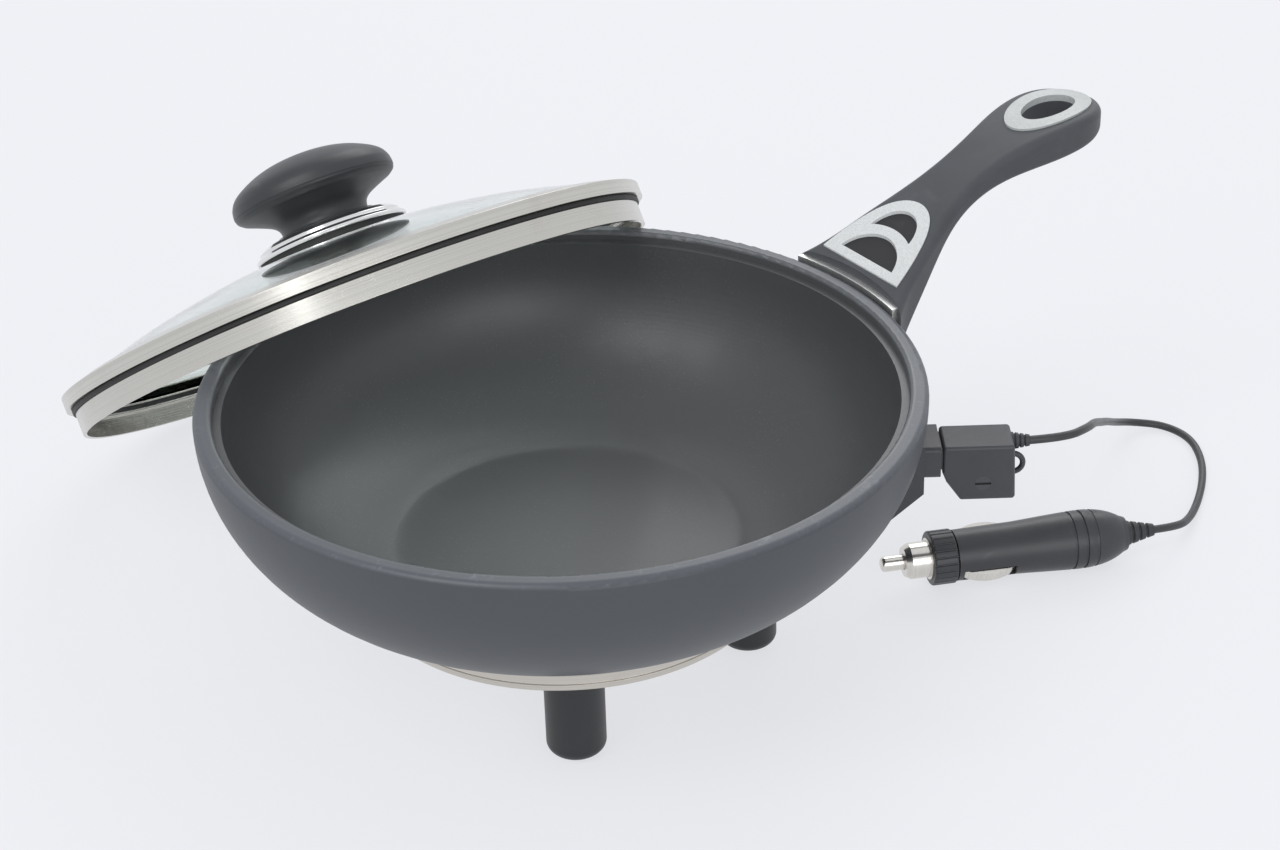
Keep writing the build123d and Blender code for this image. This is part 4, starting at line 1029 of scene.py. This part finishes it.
@dataclass
class Studio:
    """The camera, the soft light and the pale floor.

    Attributes:
        camera: the camera's place in metres.
        pitch: how far it looks down, in radians.
        roll: how far it is rolled, in radians.
        lens: its focal length in millimetres.
        pale: the floor's colour as the object finds it.
        white: the colour that floor and room are seen in.
        glow: how much of it the floor has without light.
        shadow: how much of it the floor has from light, so how deep a shadow on it is.
        reach: half of the floor's side in millimetres.
        ambient: the room's brightness as the object finds it.
        backdrop: the room's brightness as it is seen.
        lamps: each lamp's name, place and side in metres, and power in watts.
    """

    camera: Point = (0.017741, -0.696183, 0.4507)
    pitch: float = 0.5235985
    roll: float = 0.0311583
    lens: float = 77.35
    pale: Colour = (0.80, 0.81, 0.83)
    white: Colour = (0.955, 0.965, 1.0)
    glow: float = 0.69
    shadow: float = 0.23
    reach: float = 3000.0
    ambient: float = 0.62
    backdrop: float = 0.9
    lamps: tuple[tuple[str, Point, float, float], ...] = (
        ("key_lamp", (-0.7, -0.9, 1.3), 0.9, 9.0),
        ("front_lamp", (0.5, -1.3, 0.5), 0.8, 4.0),
        ("rim_lamp", (0.4, 1.2, 1.1), 1.0, 7.0),
    )

    def shoot(self) -> None:
        """Makes the camera; its axes are the level ones pitched down and then rolled."""
        right = Vector((1, 0, 0))
        up = Vector((0, math.sin(self.pitch), math.cos(self.pitch)))
        back = Vector((0, -math.cos(self.pitch), math.sin(self.pitch)))
        across = math.cos(self.roll) * right - math.sin(self.roll) * up
        over = math.sin(self.roll) * right + math.cos(self.roll) * up
        turn = Matrix((across, over, back)).transposed().to_4x4()
        data = bpy.data.cameras.new("camera")
        data.lens, data.sensor_width = self.lens, 36.0
        data.clip_start, data.clip_end = 0.01, 50.0
        camera = bpy.data.objects.new("camera", data)
        camera.matrix_world = Matrix.Translation(self.camera) @ turn
        bpy.context.scene.collection.objects.link(camera)
        bpy.context.scene.camera = camera

    def lamp(self, name: str, place: Point, size: float, power: float) -> None:
        """A square soft lamp that looks at the pan.

        Args:
            name: the lamp's name.
            place: where it hangs, in metres.
            size: its side in metres.
            power: its power in watts.
        """
        data = bpy.data.lights.new(name, "AREA")
        data.shape, data.size, data.energy = "SQUARE", size, power
        lamp = bpy.data.objects.new(name, data)
        lamp.location = place
        lamp.rotation_mode = "QUATERNION"
        lamp.rotation_quaternion = (Vector((0, 0, 0.05)) - Vector(place)).to_track_quat("-Z", "Y")
        bpy.context.scene.collection.objects.link(lamp)

    def build(self) -> None:
        """Makes the floor, the lamps and the pale surroundings."""
        side = np.linspace(-self.reach, self.reach, 13)
        x, y = np.meshgrid(side, side, indexing="ij")
        sheet = Surface(np.stack([x, y, np.zeros_like(x)], 2), False, False)
        mesh = sheet.mesh("floor", Matrix.Identity(4))
        normals = np.zeros(len(mesh.polygons) * 3)
        mesh.polygons.foreach_get("normal", normals)
        if normals[2] < 0:
            mesh.flip_normals()
        shading = Shading(bpy.data.materials.new("pale_floor"))
        cloud = shading.grain(shading.place(), 3.0, 2.0)
        dimmer = tuple(0.99 * v for v in self.pale)
        shading.set(Base_Color=shading.mix(cloud, self.pale, dimmer), Roughness=0.8)
        glow = shading.node("ShaderNodeEmission", None, {"Color": (*self.white, 1.0), "Strength": self.glow})
        lit = (*(self.shadow * v for v in self.white), 1.0)
        matt = shading.node("ShaderNodeBsdfDiffuse", None, {"Color": lit})
        shading.surface(shading.node("ShaderNodeAddShader", None, {0: glow, 1: matt}))
        mesh.materials.append(shading.owner)
        floor = bpy.data.objects.new("floor", mesh)
        bpy.context.scene.collection.objects.link(floor)
        for lamp in self.lamps:
            self.lamp(*lamp)
        room = Shading(bpy.data.worlds.new("pale_room"), "Background")
        room.set(Color=(0.93, 0.95, 1.0, 1.0), Strength=self.ambient)
        seen = {"Color": (*self.white, 1.0), "Strength": self.backdrop}
        room.surface(room.node("ShaderNodeBackground", None, seen))
        bpy.context.scene.world = room.owner
        bpy.context.scene.view_settings.view_transform = "Standard"


def main() -> None:
    """Builds the classes in order."""
    logging.basicConfig(level=logging.INFO, format="%(message)s")
    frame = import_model()
    studio = Studio()
    studio.shoot()
    cord = Cord()
    line = cord.build(Jacket("cord_jacket", (0.034, 0.035, 0.037), 0.42).material())
    Pan().build(frame)
    Handle().build(frame)
    Lid().build(frame)
    Lead().build(frame)
    studio.build()


if __name__ == "__main__":
    main()
